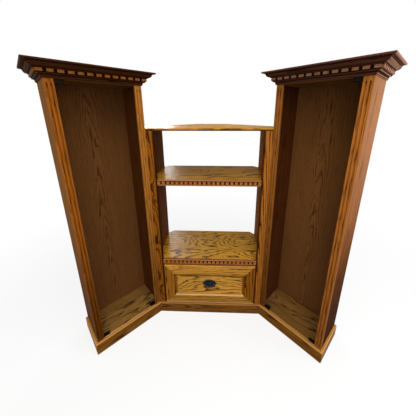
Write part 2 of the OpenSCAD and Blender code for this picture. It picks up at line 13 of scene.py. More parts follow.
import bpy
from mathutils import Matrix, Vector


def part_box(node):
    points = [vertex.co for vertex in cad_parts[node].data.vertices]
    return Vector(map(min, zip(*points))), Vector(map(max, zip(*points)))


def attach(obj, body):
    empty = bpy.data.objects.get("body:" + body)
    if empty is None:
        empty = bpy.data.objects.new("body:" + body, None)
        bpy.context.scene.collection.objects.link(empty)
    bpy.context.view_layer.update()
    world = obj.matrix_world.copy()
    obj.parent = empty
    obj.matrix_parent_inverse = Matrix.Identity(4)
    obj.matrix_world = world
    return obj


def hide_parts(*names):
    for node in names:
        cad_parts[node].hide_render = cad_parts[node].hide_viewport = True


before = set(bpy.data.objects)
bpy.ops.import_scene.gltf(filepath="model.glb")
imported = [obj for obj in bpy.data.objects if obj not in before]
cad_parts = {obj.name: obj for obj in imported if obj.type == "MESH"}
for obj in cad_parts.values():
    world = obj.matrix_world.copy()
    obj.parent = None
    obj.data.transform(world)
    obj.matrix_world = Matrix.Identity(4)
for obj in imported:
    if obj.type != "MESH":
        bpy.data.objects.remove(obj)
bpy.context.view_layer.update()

import math

import bpy
import numpy as np
from mathutils import Matrix, Vector

MM = 0.001

# %% [markdown]
# ## The camera
#
# A photograph fixes six numbers of its camera's place and three of its lens. They were
# found by matching the cabinet's own corners in the picture to the same corners of the
# model. The lens looks a little down, and the middle of its view lies above the middle of
# the picture, so a small shift moves the frame and keeps the upright edges' real slant.

# %% Set the camera where the photographer stood
IMAGE = 416
LENS_PX = 208.66
VIEW_MIDDLE = (212.31, 173.47)
SENSOR = 36.0
STAND = (0.0777, -1.5419, 1.7308)
LOOK_DOWN, LOOK_LEFT, HEAD_TILT = 16.235, 2.010, -0.100

lens = bpy.data.cameras.new("photo_camera")
lens.sensor_width = SENSOR
lens.lens = LENS_PX / IMAGE * SENSOR
lens.shift_x = (IMAGE / 2 - VIEW_MIDDLE[0]) / IMAGE
lens.shift_y = (VIEW_MIDDLE[1] - IMAGE / 2) / IMAGE
lens.clip_start, lens.clip_end = 0.05, 100

pitch, turn, roll = (math.radians(a) for a in (90 - LOOK_DOWN, LOOK_LEFT, HEAD_TILT))
camera = bpy.data.objects.new("photo_camera", lens)
camera.matrix_world = (
    Matrix.Translation(STAND)
    @ Matrix.Rotation(turn, 4, "Z")
    @ Matrix.Rotation(pitch, 4, "X")
    @ Matrix.Rotation(roll, 4, "Z")
)
bpy.context.scene.collection.objects.link(camera)
bpy.context.scene.camera = camera
bpy.context.scene.view_settings.view_transform = "Standard"
print("lens", round(lens.lens, 2), "mm, shift", round(lens.shift_x, 4), round(lens.shift_y, 4))

# %% [markdown]
# ## Small helpers for shader nodes
#
# A finish is a network of nodes. Writing each node as one call, with its inputs as either
# a value or the output of an earlier node, lets a network be read from top to bottom.

# %% Helpers that write a node network
def feed(tree, socket, value):
    """Gives a socket a value, or links it to another node's output."""
    if isinstance(value, bpy.types.NodeSocket):
        tree.links.new(value, socket)
    else:
        socket.default_value = value


def add(tree, kind, inputs=None, **settings):
    """A new shader node: settings are its properties, inputs its sockets by name or number."""
    made = tree.nodes.new("ShaderNode" + kind)
    for key, value in settings.items():
        setattr(made, key, value)
    for key, value in (inputs or {}).items():
        feed(tree, made.inputs[key], value)
    return made


def maths(tree, operation, *values):
    """One arithmetic step on numbers or sockets."""
    return add(tree, "Math", dict(enumerate(values)), operation=operation).outputs[0]


def vectors(tree, operation, *values):
    """One arithmetic step on vectors."""
    return add(tree, "VectorMath", dict(enumerate(values)), operation=operation).outputs[0]


def length(tree, value):
    """The length of a vector."""
    return add(tree, "VectorMath", {0: value}, operation="LENGTH").outputs["Value"]


def scaled(tree, value, factor):
    """A vector or colour times a number."""
    made = add(tree, "VectorMath", {0: value, "Scale": factor}, operation="SCALE")
    return made.outputs[0]


def noise(tree, point, lumps, detail=2.0, roughness=0.5):
    """Noise with a number of lumps per metre along each axis."""
    made = add(tree, "TexNoise", {"Vector": vectors(tree, "MULTIPLY", point, lumps),
                                  "Scale": 1.0, "Detail": detail, "Roughness": roughness})
    return made.outputs


def ramp(tree, value, low, high, to_low=0.0, to_high=1.0):
    """Maps a value between two bounds to two others, smoothly and clamped."""
    made = add(tree, "MapRange", {"Value": value, "From Min": low, "From Max": high,
                                  "To Min": to_low, "To Max": to_high},
               interpolation_type="SMOOTHSTEP")
    return made.outputs[0]


def blend(tree, factor, first, second):
    """A colour between two colours."""
    made = add(tree, "Mix", {0: factor, 6: first, 7: second}, data_type="RGBA")
    return made.outputs[2]


def rgb(red, green, blue):
    """A colour as a socket takes it, with its fourth number."""
    return (red, green, blue, 1.0)


def new_material(name):
    """An empty material and its node tree."""
    made = bpy.data.materials.new(name)
    made.use_nodes = True
    made.node_tree.nodes.clear()
    return made, made.node_tree


print("colours are linear: 0.5 shows as", round(255 * 0.5 ** (1 / 2.2)), "of 255")

# %% [markdown]
# ## The studio
#
# The object stands on a pale floor that fades into a white background, with soft light
# from above and in front. The white is only what the camera, a reflection or the glass
# sees: a Light Path node tells such rays from the light that falls on the oak, which comes
# from the lamps and a moderate grey surround. So the background is white while the wood
# keeps its own colour, and the floor still takes the object's soft shadow.

# %% White surround and pale floor
AMBIENT = 0.38
CLEAR_FLOOR = 0.76
FADE_FROM, FADE_TO = 1.3, 3.2
FLOOR_PAINT, FLOOR_BOUNCE = (0.97, 0.97, 0.97), (0.36, 0.34, 0.31)


def seen_directly(tree):
    """1 for rays from the camera, reflections and glass, 0 for light on the object."""
    path = add(tree, "LightPath").outputs
    some = maths(tree, "MAXIMUM", path["Is Camera Ray"], path["Is Glossy Ray"])
    some = maths(tree, "MAXIMUM", some, path["Is Transmission Ray"])
    return maths(tree, "MULTIPLY", some, maths(tree, "LESS_THAN", path["Diffuse Depth"], 0.5))


world = bpy.data.worlds.new("white_studio")
world.use_nodes = True
sky = world.node_tree
sky.nodes.clear()
soft = add(sky, "Background", {"Color": rgb(1.0, 0.99, 0.97), "Strength": AMBIENT})
white = add(sky, "Background", {"Color": rgb(1, 1, 1), "Strength": 1.0})
both = add(sky, "MixShader", {0: seen_directly(sky), 1: soft.outputs[0], 2: white.outputs[0]})
add(sky, "OutputWorld", {"Surface": both.outputs[0]})
bpy.context.scene.world = world

paper, tree = new_material("pale_floor")
away = length(tree, add(tree, "TexCoord").outputs["Object"])
clear = ramp(tree, away, FADE_FROM, FADE_TO, CLEAR_FLOOR, 1.0)
share = maths(tree, "MULTIPLY", clear, seen_directly(tree))
paint = blend(tree, seen_directly(tree), rgb(*FLOOR_BOUNCE), rgb(*FLOOR_PAINT))
matt = add(tree, "BsdfDiffuse", {"Color": paint})
glow = add(tree, "Emission", {"Color": rgb(1, 1, 1), "Strength": 1.0})
both = add(tree, "MixShader", {0: share, 1: matt.outputs[0], 2: glow.outputs[0]})
add(tree, "OutputMaterial", {"Surface": both.outputs[0]})

REACH = 30.0
ground = bpy.data.meshes.new("studio_floor")
ground.from_pydata([(-REACH, -REACH, 0), (REACH, -REACH, 0), (REACH, REACH, 0),
                    (-REACH, REACH, 0)], [], [(0, 1, 2, 3)])
ground.materials.append(paper)
studio_floor = bpy.data.objects.new("studio_floor", ground)
bpy.context.scene.collection.objects.link(studio_floor)
print("floor: white beyond", FADE_TO, "m from the middle")

# %% [markdown]
# ## Lamps
#
# Large soft lamps show the shape of a moulding without hard shadows. Two square lamps above
# and in front do most of the work, and a weaker one lights the rear. A strong one behind the
# cabinet only makes the sheen on its level boards, so gloss alone sees it, and one at the
# side lightens the right tower's outer side. The glass sees none of them.

# %% Hang the lamps
def lamp(name, place, aim, size, power, diffuse=True, gloss=True):
    """A square soft lamp at a place, turned to what it aims at."""
    data = bpy.data.lights.new(name, "AREA")
    data.shape, data.size, data.energy = "SQUARE", size, power
    made = bpy.data.objects.new(name, data)
    made.location = place
    made.rotation_euler = (Vector(aim) - Vector(place)).to_track_quat("-Z", "Y").to_euler()
    made.visible_diffuse, made.visible_glossy, made.visible_transmission = diffuse, gloss, False
    bpy.context.scene.collection.objects.link(made)
    return made


lamps = [
    lamp("overhead_lamp", (0.2, -1.4, 3.7), (0, -0.1, 0.8), 2.2, 70),
    lamp("front_lamp", (0.5, -3.6, 2.3), (0, 0, 0.9), 2.2, 48),
    lamp("back_lamp", (0.0, 2.6, 2.9), (0, 0.2, 1.0), 2.0, 22, gloss=False),
    lamp("sheen_lamp", (-1.75, 3.0, 2.6), (0, 0.1, 0.8), 1.8, 220, diffuse=False),
    lamp("side_lamp", (3.2, -0.8, 2.3), (0.9, 0, 1.6), 1.0, 30, gloss=False),
]
print("lamps:", len(lamps), "with", sum(made.data.energy for made in lamps), "watts")

# %% [markdown]
# ## Oak
#
# Oak is ring-porous: each year starts with a band of wide open pores that drinks up stain
# and turns dark, followed by dense pale summer wood. A board is a cut through these
# cylinders, so its figure is where the rings around the tree's heart meet its face. The
# finish repeats that: a point's distance from a wavering heart line, divided by the width
# of a ring, gives its place in the year. Flat-sawn faces then show cathedral arches by
# themselves, edges show straight lines, and ends show arcs.

# %% How many rings a point lies from the heart
SLOW_BENDS, FINE_BENDS = (1.6, 7, 7), (9, 45, 45)


def ring_count(tree, given, point):
    """The distance from the heart line over the width of a ring.

    The distance is the root of (across x flat)^2 + (out + along x tilt)^2, at a point that
    noise has pushed aside: slow bends, and finer ones times the feather.
    """
    half = (0.5, 0.5, 0.5)
    slow = vectors(tree, "SUBTRACT", noise(tree, point, SLOW_BENDS, 1)["Color"], half)
    fine = vectors(tree, "SUBTRACT", noise(tree, point, FINE_BENDS, 2)["Color"], half)
    bend = vectors(tree, "ADD", slow, scaled(tree, fine, given["Feather"]))
    bent = vectors(tree, "ADD", given["Point"], scaled(tree, bend, given["Wave"]))
    along, across, out = add(tree, "SeparateXYZ", {0: bent}).outputs
    across = maths(tree, "MULTIPLY", across, given["Flat"])
    out = maths(tree, "MULTIPLY_ADD", along, given["Tilt"], out)
    square = maths(tree, "MULTIPLY_ADD", across, across, maths(tree, "MULTIPLY", out, out))
    years = maths(tree, "DIVIDE", maths(tree, "SQRT", square), given["Ring"])
    return maths(tree, "ADD", years, given["Swirl"])


print("bends of the heart line per metre: slow", SLOW_BENDS, "fine", FINE_BENDS)

# %% [markdown]
# ## Spring wood and pores
#
# The dark band is sharp where a year starts and fades into the summer wood. Its width
# differs from year to year, and here and there the line breaks off. Between the wide years
# lie narrow ones, as thin faint lines. Long thin noise adds the pores, which are short dark
# dashes along the grain, close together in the spring wood.

# %% The dark lines and the pores
LEAST_DARK, MORE_DARK, SOFT_START = 0.30, 0.30, 0.9
BROKEN_BELOW, WHOLE_ABOVE = 0.38, 0.58
NARROW_YEARS, NARROW_WIDTH, NARROW_TONE = 3.7, 0.55, 0.38
PORE_DASHES, PORE_FROM, PORE_FULL = (55, 1300, 1300), 0.56, 0.66


def spring_wood(tree, given, point, years):
    """1 in the dark spring wood, 0 in the pale summer wood.

    From the year's start it falls as 1 - part of the year / the dark band's width.
    """
    part = maths(tree, "FRACT", years)
    own = add(tree, "TexWhiteNoise", {"W": maths(tree, "FLOOR", years)},
              noise_dimensions="1D").outputs["Value"]
    width = maths(tree, "MULTIPLY_ADD", own, MORE_DARK, LEAST_DARK)
    fade = maths(tree, "SUBTRACT", 1.0, maths(tree, "DIVIDE", part, width))
    dark = maths(tree, "MAXIMUM", ramp(tree, fade, 0.0, 0.9), ramp(tree, part, SOFT_START, 1.0))
    broken = noise(tree, point, given["Break"], 3, 0.6)["Fac"]
    whole = ramp(tree, broken, BROKEN_BELOW, WHOLE_ABOVE, given["Gap"], 1.0)
    dark = maths(tree, "MULTIPLY", dark, whole)
    thin = maths(tree, "FRACT", maths(tree, "MULTIPLY", years, NARROW_YEARS))
    thin = maths(tree, "MULTIPLY", ramp(tree, thin, NARROW_WIDTH, 0.0), NARROW_TONE)
    return maths(tree, "MAXIMUM", dark, thin)


def pore_dashes(tree, point, spring):
    """1 in a pore: thin noise above a bound, four times as strong in the spring wood."""
    dashes = ramp(tree, noise(tree, point, PORE_DASHES, 1)["Fac"], PORE_FROM, PORE_FULL)
    return maths(tree, "MULTIPLY", dashes, maths(tree, "MULTIPLY_ADD", spring, 0.75, 0.25))


print("pores per metre along, across and into a board:", PORE_DASHES)

# %% [markdown]
# ## The oak network
#
# All oak shares one node group, because a board differs from the next only in numbers:
# its stain, the width of its rings, and a seed that moves it to another part of the noise.
# Fine fibres and a slow drift of the tone keep a large face from looking printed.

# %% One shared network for all oak
SEED_SHIFT = (3.71, 1.37)
FIBRES, FIBRE_SHADE = (9, 420, 420), (0.36, 0.82)
DRIFT, DRIFT_SHADE = (0.9, 6, 6), (0.44, 0.78)
PORE_STAIN, PORE_MATT, SPRING_HEIGHT = 0.55, 0.18, -0.35
OAK_INPUTS = {
    "Vector": ("Point", "Break"), "Color": ("Light", "Dark"),
    "Float": ("Ring", "Wave", "Feather", "Flat", "Tilt", "Seed", "Contrast", "Gap", "Matt",
              "Swirl")}
OAK_OUTPUTS = {"Color": "Color", "Roughness": "Float", "Height": "Float"}


def oak_network():
    """Group: a point (along the grain, across it, out of the face) to colour, gloss, height.

    A shade is noise x its first number + its second, so that its mean is 1.
    """
    group = bpy.data.node_groups.new("oak_figure", "ShaderNodeTree")
    for kind, names in OAK_INPUTS.items():
        for name in names:
            group.interface.new_socket(name, in_out="INPUT", socket_type="NodeSocket" + kind)
    for name, kind in OAK_OUTPUTS.items():
        group.interface.new_socket(name, in_out="OUTPUT", socket_type="NodeSocket" + kind)
    given = group.nodes.new("NodeGroupInput").outputs
    shift = add(group, "CombineXYZ", {axis: maths(group, "MULTIPLY", given["Seed"], step)
                                      for axis, step in enumerate(SEED_SHIFT)})
    point = vectors(group, "ADD", given["Point"], shift.outputs[0])
    spring = spring_wood(group, given, point, ring_count(group, given, point))
    pores = pore_dashes(group, point, spring)
    fibre = noise(group, point, FIBRES, 2, 0.6)["Fac"]
    drift = noise(group, point, DRIFT, 2)["Fac"]
    grey = maths(group, "MULTIPLY", maths(group, "MULTIPLY_ADD", fibre, *FIBRE_SHADE),
                 maths(group, "MULTIPLY_ADD", drift, *DRIFT_SHADE))
    stain = maths(group, "MULTIPLY", spring, given["Contrast"])
    tone = scaled(group, blend(group, stain, given["Light"], given["Dark"]), grey)
    colour = blend(group, maths(group, "MULTIPLY", pores, PORE_STAIN), tone, given["Dark"])
    gloss = maths(group, "MULTIPLY_ADD", pores, PORE_MATT, given["Matt"])
    dip = maths(group, "MULTIPLY", spring, SPRING_HEIGHT)
    height = maths(group, "MULTIPLY_ADD", pores, -1.0, dip)
    ends = group.nodes.new("NodeGroupOutput")
    for name, value in (("Color", colour), ("Roughness", gloss), ("Height", height)):
        feed(group, ends.inputs[name], value)
    return group


oak_figure = oak_network()
print("oak network:", len(oak_figure.nodes), "nodes")

# %% [markdown]
# ## A finish for each board
#
# No two boards of a cabinet share their grain, and each runs along its own board: upright
# in a pilaster, level in a rail, at 45 degrees in a tower's floor. So every board gets a
# material of its own that turns the object's coordinates into the board's: along the
# grain, across it, and out of its show face. The heart line of the tree lies a few
# centimetres behind that face. A stain is two colours, for the summer and the spring wood.

# %% Stains, and where a point lies in its board
TONES = {
    "oak_frame": ((0.47, 0.180, 0.018), (0.075, 0.021, 0.003)),
    # The stiles' stain is darker than the frame's, partly as painted shade for their place
    # between the towers.
    "oak_stile": ((0.27, 0.088, 0.008), (0.034, 0.008, 0.001)),
    "oak_side": ((0.19, 0.062, 0.013), (0.048, 0.014, 0.003)),
    "oak_panel": ((0.34, 0.160, 0.040), (0.070, 0.028, 0.008)),
    "oak_board": ((0.54, 0.260, 0.020), (0.042, 0.014, 0.001)),
    "oak_cornice": ((0.078, 0.024, 0.007), (0.012, 0.004, 0.002)),
    "oak_plinth": ((0.30, 0.125, 0.020), (0.050, 0.016, 0.004)),
    "oak_drawer": ((0.64, 0.300, 0.045), (0.085, 0.029, 0.003)),
    "plain_wood": ((0.62, 0.44, 0.24), (0.42, 0.27, 0.13)),
}
UP, ACROSS, FRONT = Vector((0, 0, 1)), Vector((1, 0, 0)), Vector((0, -1, 0))
seeds = iter(range(1, 500))


def board_point(tree, along, face, middle, heart):
    """The object's coordinates as (along, across, out), counted from the heart line."""
    turned = Matrix((along, face.cross(along), face))
    middle = turned @ Vector(middle)
    return add(tree, "Mapping", {
        "Vector": add(tree, "TexCoord").outputs["Object"],
        "Rotation": turned.to_euler(),
        "Location": (-middle.x, -middle.y - heart[0], -middle.z + heart[1]),
    }).outputs[0]


print("stains:", ", ".join(TONES))

# %% [markdown]
# ## Knots, joints and glare
#
# A knot is a place where the rings close around a branch, which a bell-shaped bump in the
# ring count repeats, some with a dark core. The joints between boards get dark lines, for the
# dirt and glaze that gather there and as painted shade of the gaps. The towers' sides are seen
# almost along their faces, where old lacquer throws much light back: a tinted gloss is mixed
# in by Fresnel's rule, which makes it strong at a flat angle only. It grows with the height,
# and pores and hollows keep it back.

# %% Knots, joints and glare as helpers
GLARE_IOR, GLARE_LEAST, GLARE_ROUGHNESS = 1.6, 0.02, 0.35
GLARE_RECESS, GLARE_STREAKS = (-0.7, 0.4, 1.0, 0.05), (-0.6, 0.0, 0.55, 1.1)
EVERYWHERE = (-9, -8)    # heights below every board, so that the glare lies on all of it


def knot_rings(tree, place, heart, knots):
    """Extra rings, years x exp(-distance^2) summed over the knots, and the cores' shares.

    A knot is (up, aside, half height, half width, years, how dark its core is).
    """
    swirl, cores = 0.0, []
    for up, side, tall, wide, years, core in knots:
        near = add(tree, "Mapping", {"Vector": place, "Scale": (1 / tall, 1 / wide, 0),
                                     "Location": (-up / tall, (heart[0] - side) / wide, 0)})
        off = length(tree, near.outputs[0])
        if core:
            cores.append(ramp(tree, off, 0.75, 0.30, 0.0, core))
        square = maths(tree, "MULTIPLY", maths(tree, "MULTIPLY", off, off), -1.0)
        bump = maths(tree, "MULTIPLY", maths(tree, "EXPONENT", square), years)
        swirl = maths(tree, "ADD", swirl, bump)
    return swirl, cores


def joint_dirt_and_shade(tree, level, aside, seams):
    """1 at the joints, 0 a little way in, for dirt and painted shade: seams is (half length, low
    side, high side, width).
    """
    ends, low, high, wide = seams
    dirt_and_shade = ramp(tree, maths(tree, "ABSOLUTE", level), ends - wide / 2, ends)
    for edge, way in ((low, -1.0), (high, 1.0)):
        near = ramp(tree, maths(tree, "MULTIPLY", aside, way), edge - wide, edge)
        dirt_and_shade = maths(tree, "MAXIMUM", dirt_and_shade, near)
    return dirt_and_shade


def with_glare(tree, shader, level, height, bump, glare, sunk):
    """The shader under a tinted gloss, by Fresnel x height on the board x how open it lies."""
    tint, low, high = glare
    share = maths(tree, "MULTIPLY", ramp(tree, level, low, high, GLARE_LEAST, 1.0),
                  add(tree, "Fresnel", {"IOR": GLARE_IOR}).outputs[0])
    if sunk is not None:
        share = maths(tree, "MULTIPLY", share, ramp(tree, sunk, *GLARE_RECESS))
    streaks = ramp(tree, height, *GLARE_STREAKS)
    lacquer = add(tree, "BsdfAnisotropic", {
        "Color": scaled(tree, tint, streaks), "Roughness": GLARE_ROUGHNESS, "Normal": bump})
    return add(tree, "MixShader", {0: share, 1: shader.outputs[0], 2: lacquer.outputs[0]})


print("glare: roughness", GLARE_ROUGHNESS, "index", GLARE_IOR)

# %% [markdown]
# ## Stain, glaze and wear, with painted shade and highlights
#
# A cabinet of this kind is stained, then wiped with a dark glaze that stays in every hollow,
# and years of dusting rub the edges of its mouldings pale again. Here the dark in a hollow
# also stands for the shade that falls into it, and the pale on an edge for the highlight it
# catches: painted shade and painted highlight as well as glaze and wear. A piece with a
# profile carries how hollow each point is, from -1 on an edge to 1 in a groove, as an
# attribute called recess, and its finish mixes towards the dark tone in a groove and the pale
# one on an edge by it. An upright board is also painted darker towards its lower end, and the
# back of a board darker than its face, as painted shade.

# %% The finish of one board
SATIN_IOR, LACQUER_IOR, POLISHED_IOR = 1.012, 1.04, 1.115
PORE_DEPTH, BREAKS_ALONG, BACK_LAYER = 0.0004, 11, 0.004
FOOT_LOW, FOOT_HIGH = -0.75, 0.15
# The dark tone in hollows and joints is glaze, dirt and painted shade; the pale one on edges is
# wear and painted highlight.
DEEP_TONE, DARK_SHARE, PALE_SHARE = 0.35, 0.85, 0.65


def board_finish(name, tone, along, face, middle, ring=0.015, wave=0.03, feather=0.16, flat=1.0,
                 broken=80, gap=0.22, tilt=0.03, heart=(0.012, 0.05), contrast=0.9, knots=(),
                 dim=1.0, glaze_wear_and_light=False, rub_and_highlight=1.25, pale=0.015, seams=None, behind=1.0, foot=1.0,
                 gloss=LACQUER_IOR, glare=None, matt=0.32):
    """Oak on one board, by its place in the tree, by what use did to it, and by painted shade and
    highlights.

    ring is the width of a year, wave and feather say how the heart line wavers, flat how far
    the arches spread, broken and gap how often the dark lines break and what is left there,
    and heart how far the heart line lies beside and behind the middle. dim scales the stain,
    a pale edge is (light + pale) times the factor for wear and painted highlight, and behind
    and foot are what is left of the tone at the back and at the lower end, as painted shade.
    """
    made, tree = new_material(name)
    place = board_point(tree, along.normalized(), face.normalized(), middle, heart)
    level, across, depth = add(tree, "SeparateXYZ", {0: place}).outputs
    light, dark = (np.multiply(colour, dim) for colour in TONES[tone])
    # The pale edge tone: wear and painted highlight.
    deep, pale_edge = rgb(*dark * DEEP_TONE), rgb(*(light + pale) * rub_and_highlight)
    swirl, cores = knot_rings(tree, place, heart, knots)
    oak = add(tree, "Group", dict(
        Point=place, Light=rgb(*light), Dark=rgb(*dark), Ring=ring, Wave=wave, Feather=feather,
        Flat=flat, Tilt=tilt, Contrast=contrast, Matt=matt, Swirl=swirl, Gap=gap,
        Break=(BREAKS_ALONG, broken, broken), Seed=float(next(seeds))), node_tree=oak_figure)
    colour, rough, height = oak.outputs
    bump = add(tree, "Bump", {"Height": height, "Strength": 0.5,
                              "Distance": PORE_DEPTH}).outputs[0]
    sunk = add(tree, "Attribute", attribute_name="recess").outputs["Fac"] if glaze_wear_and_light else None
    for core in cores:
        colour = blend(tree, core, colour, deep)
    # Hollows darker: glaze and painted shade. Edges paler: wear and painted highlight.
    if glaze_wear_and_light:
        colour = blend(tree, ramp(tree, sunk, 0.0, 1.0, 0.0, DARK_SHARE), colour, deep)
        colour = blend(tree, ramp(tree, sunk, 0.0, -1.0, 0.0, PALE_SHARE), colour, pale_edge)
    # Painted shade: the back of the board is darker.
    if behind < 1:
        near_face = ramp(tree, depth, heart[1] - BACK_LAYER, heart[1], behind, 1.0)
        colour = scaled(tree, colour, near_face)
    # Painted shade: the board gets darker towards its lower end.
    if foot < 1:
        colour = scaled(tree, colour, ramp(tree, level, FOOT_LOW, FOOT_HIGH, foot, 1.0))
    # Dark joints: dirt, and painted shade of the gaps beside them.
    if seams is not None:
        dirt_and_shade = joint_dirt_and_shade(tree, level, maths(tree, "ADD", across, heart[0]), seams)
        colour = blend(tree, maths(tree, "MULTIPLY", dirt_and_shade, DARK_SHARE), colour, deep)
    shader = add(tree, "BsdfPrincipled", {"Base Color": colour, "Roughness": rough,
                                          "Normal": bump, "IOR": gloss})
    if glare is not None:
        shader = with_glare(tree, shader, level, height, bump, glare, sunk)
    add(tree, "OutputMaterial", {"Surface": shader.outputs[0]})
    return made


print("index of a dull, a plain and a polished coat:", SATIN_IOR, LACQUER_IOR, POLISHED_IOR)

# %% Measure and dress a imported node
def middle_of(node):
    """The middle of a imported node's box."""
    low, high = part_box(node)
    return (low + high) / 2


def dress(node, material):
    """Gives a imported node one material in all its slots."""
    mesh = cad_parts[node].data
    mesh.materials.clear()
    mesh.materials.append(material)


print("middle of the drawer's panel:", np.round(middle_of("drawer_front_panel"), 3).tolist())

# %% [markdown]
# ## The boards of the towers
#
# A tower is a case of flat boards: two sides, a thin back, a floor and a ceiling, with a
# header over the door and a row of dentils under the crown. These are right as packed, so
# each only gets its finish. The grain stands upright in the sides and the back and runs
# along the front in the rest. The two towers were stained by hand and stand in different
# light, so some of their tones differ, partly as painted light and shade. Each outer side is
# also painted darker towards the floor and on its inner face, as painted shade.

# %% Finish the boards of the towers
SIDES = {"left": -1, "right": 1}
HALF_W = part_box("centre_plinth")[1].x
FRONT_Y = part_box("left_stile")[0].y
WING = math.sqrt(0.5)
# foot paints an outer side darker towards the floor, most on the right: painted shade.
SIDE_LOOKS = {"left": dict(foot=0.65, glare=((0.26, 0.125, 0.035), -1.0, 0.5)),
              "right": dict(foot=0.22, glare=((1.0, 0.55, 0.30), -0.35, 0.85))}
FLOOR_DIMS = {"left": (1.15, 1.4, 4.6), "right": (0.98, 1.08, 3.2)}
DENTIL_LOOKS = {"left": dict(dim=(0.60, 0.53, 1.0)),
                "right": dict(dim=(0.48, 0.57, 2.1), glare=((1.0, 0.57, 0.42), *EVERYWHERE))}


def front_way(side):
    """A tower's own directions: along its front away from the centre, and to its back."""
    return Vector((side * WING, -WING, 0)), Vector((side * WING, WING, 0))


for name, side in SIDES.items():
    s_way, t_way = front_way(side)
    boards = {
        # behind darkens the outer side's inner face: painted shade.
        "outer_side": ("oak_side", UP, s_way, dict(
            ring=0.012, gap=0.4, contrast=0.85, heart=(0.05, 0.07), behind=0.35,
            gloss=SATIN_IOR, dim=(1.35, 1.15, 0.9), matt=0.42, **SIDE_LOOKS[name])),
        "inner_side": ("oak_side", UP, s_way, dict(ring=0.012, contrast=0.75, gloss=SATIN_IOR)),
        "back": ("oak_panel", UP, -t_way, dict(
            ring=0.007, wave=0.035, feather=0.35, broken=160, gap=0.5, contrast=0.8,
            gloss=SATIN_IOR, dim=(1.15, 1.11, 1.25))),
        "floor": ("oak_board", s_way, UP, dict(
            ring=0.009, wave=0.08, feather=0.22, flat=0.7, broken=90, gap=0.5,
            heart=(0.05, 0.05), dim=FLOOR_DIMS[name], contrast=1.0, gloss=SATIN_IOR)),
        "ceiling": ("oak_panel", s_way, -UP, {}),
        "header": ("oak_frame", s_way, -t_way, {}),
        "dentils": ("oak_frame", UP, -t_way, dict(
            ring=0.005, contrast=0.5, **DENTIL_LOOKS[name])),
    }
    for board, (tone, along, face, more) in boards.items():
        node = f"{name}_{board}"
        dress(node, board_finish(node, tone, along, face, middle_of(node), **more))
    print(name, "tower:", ", ".join(boards))

# %% [markdown]
# ## The boards of the centre unit
#
# The level boards are the showpiece: flat-sawn oak under polished lacquer, with broad
# arches, and dark figures that a few wide bumps in the ring count bring into the deck. The
# left stile was cut near its tree's branches and has four knots in a row. The inside of the
# drawer is plain pale wood, since nobody stains what is hidden.

# %% Joints and knots of the centre unit
NO_SEAM = 2.0    # so far from the middle that no point of a board comes near it
# Painted shade: a dark line along both edges of each stile for the gaps beside it, and along the
# drawer panel's top and side edges under the frame.
STILE_EDGE, STILE_GAP_SHADE, PANEL_EDGE_SHADE = 0.028, 0.004, 0.016
STILE_SEAMS = (NO_SEAM, STILE_EDGE, STILE_EDGE, STILE_GAP_SHADE)
PULL_Z, PANEL_Z = middle_of("pull_plate").z, middle_of("drawer_front_panel").z
GROOVE = 8 * MM
panel_low, panel_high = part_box("drawer_front_panel")
PANEL_FRONT = panel_low.y
PANEL_SEAMS = ((panel_high.x - panel_low.x) / 2 - GROOVE, NO_SEAM,
               (panel_high.z - panel_low.z) / 2 - GROOVE, PANEL_EDGE_SHADE)
STILE_MIDDLE, KNOT_W, KNOT_CORE = middle_of("left_stile").z, 0.026, 0.55
LEFT_KNOTS = [
    (z - STILE_MIDDLE, aside, tall, KNOT_W, years, KNOT_CORE) for z, aside, tall, years in (
        (1.19, 0.004, 0.06, 1.8), (1.07, -0.002, 0.06, 2.2), (0.72, 0.006, 0.07, 1.2),
        (0.22, 0.002, 0.09, 2.6))]
DECK_KNOTS = ((-0.03, 0.03, 0.24, 0.09, 5.0, 0), (0.28, 0.06, 0.16, 0.08, -3.5, 0),
              (-0.30, -0.10, 0.20, 0.07, 3.0, 0), (0.15, -0.14, 0.20, 0.06, 3.5, 0))
# The second entry is no knot but a dark halo round the pull, without rings: hand dirt and the
# painted shadow of the plate and the bail.
PANEL_KNOTS_AND_PULL_SHADE = ((0.0, 0.0, 0.26, 0.045, 3.0, 0), (0.0, PULL_Z - PANEL_Z, 0.075, 0.050, 0, 0.35))
print("knots in the left stile:", len(LEFT_KNOTS), "and figures in the deck:", len(DECK_KNOTS))

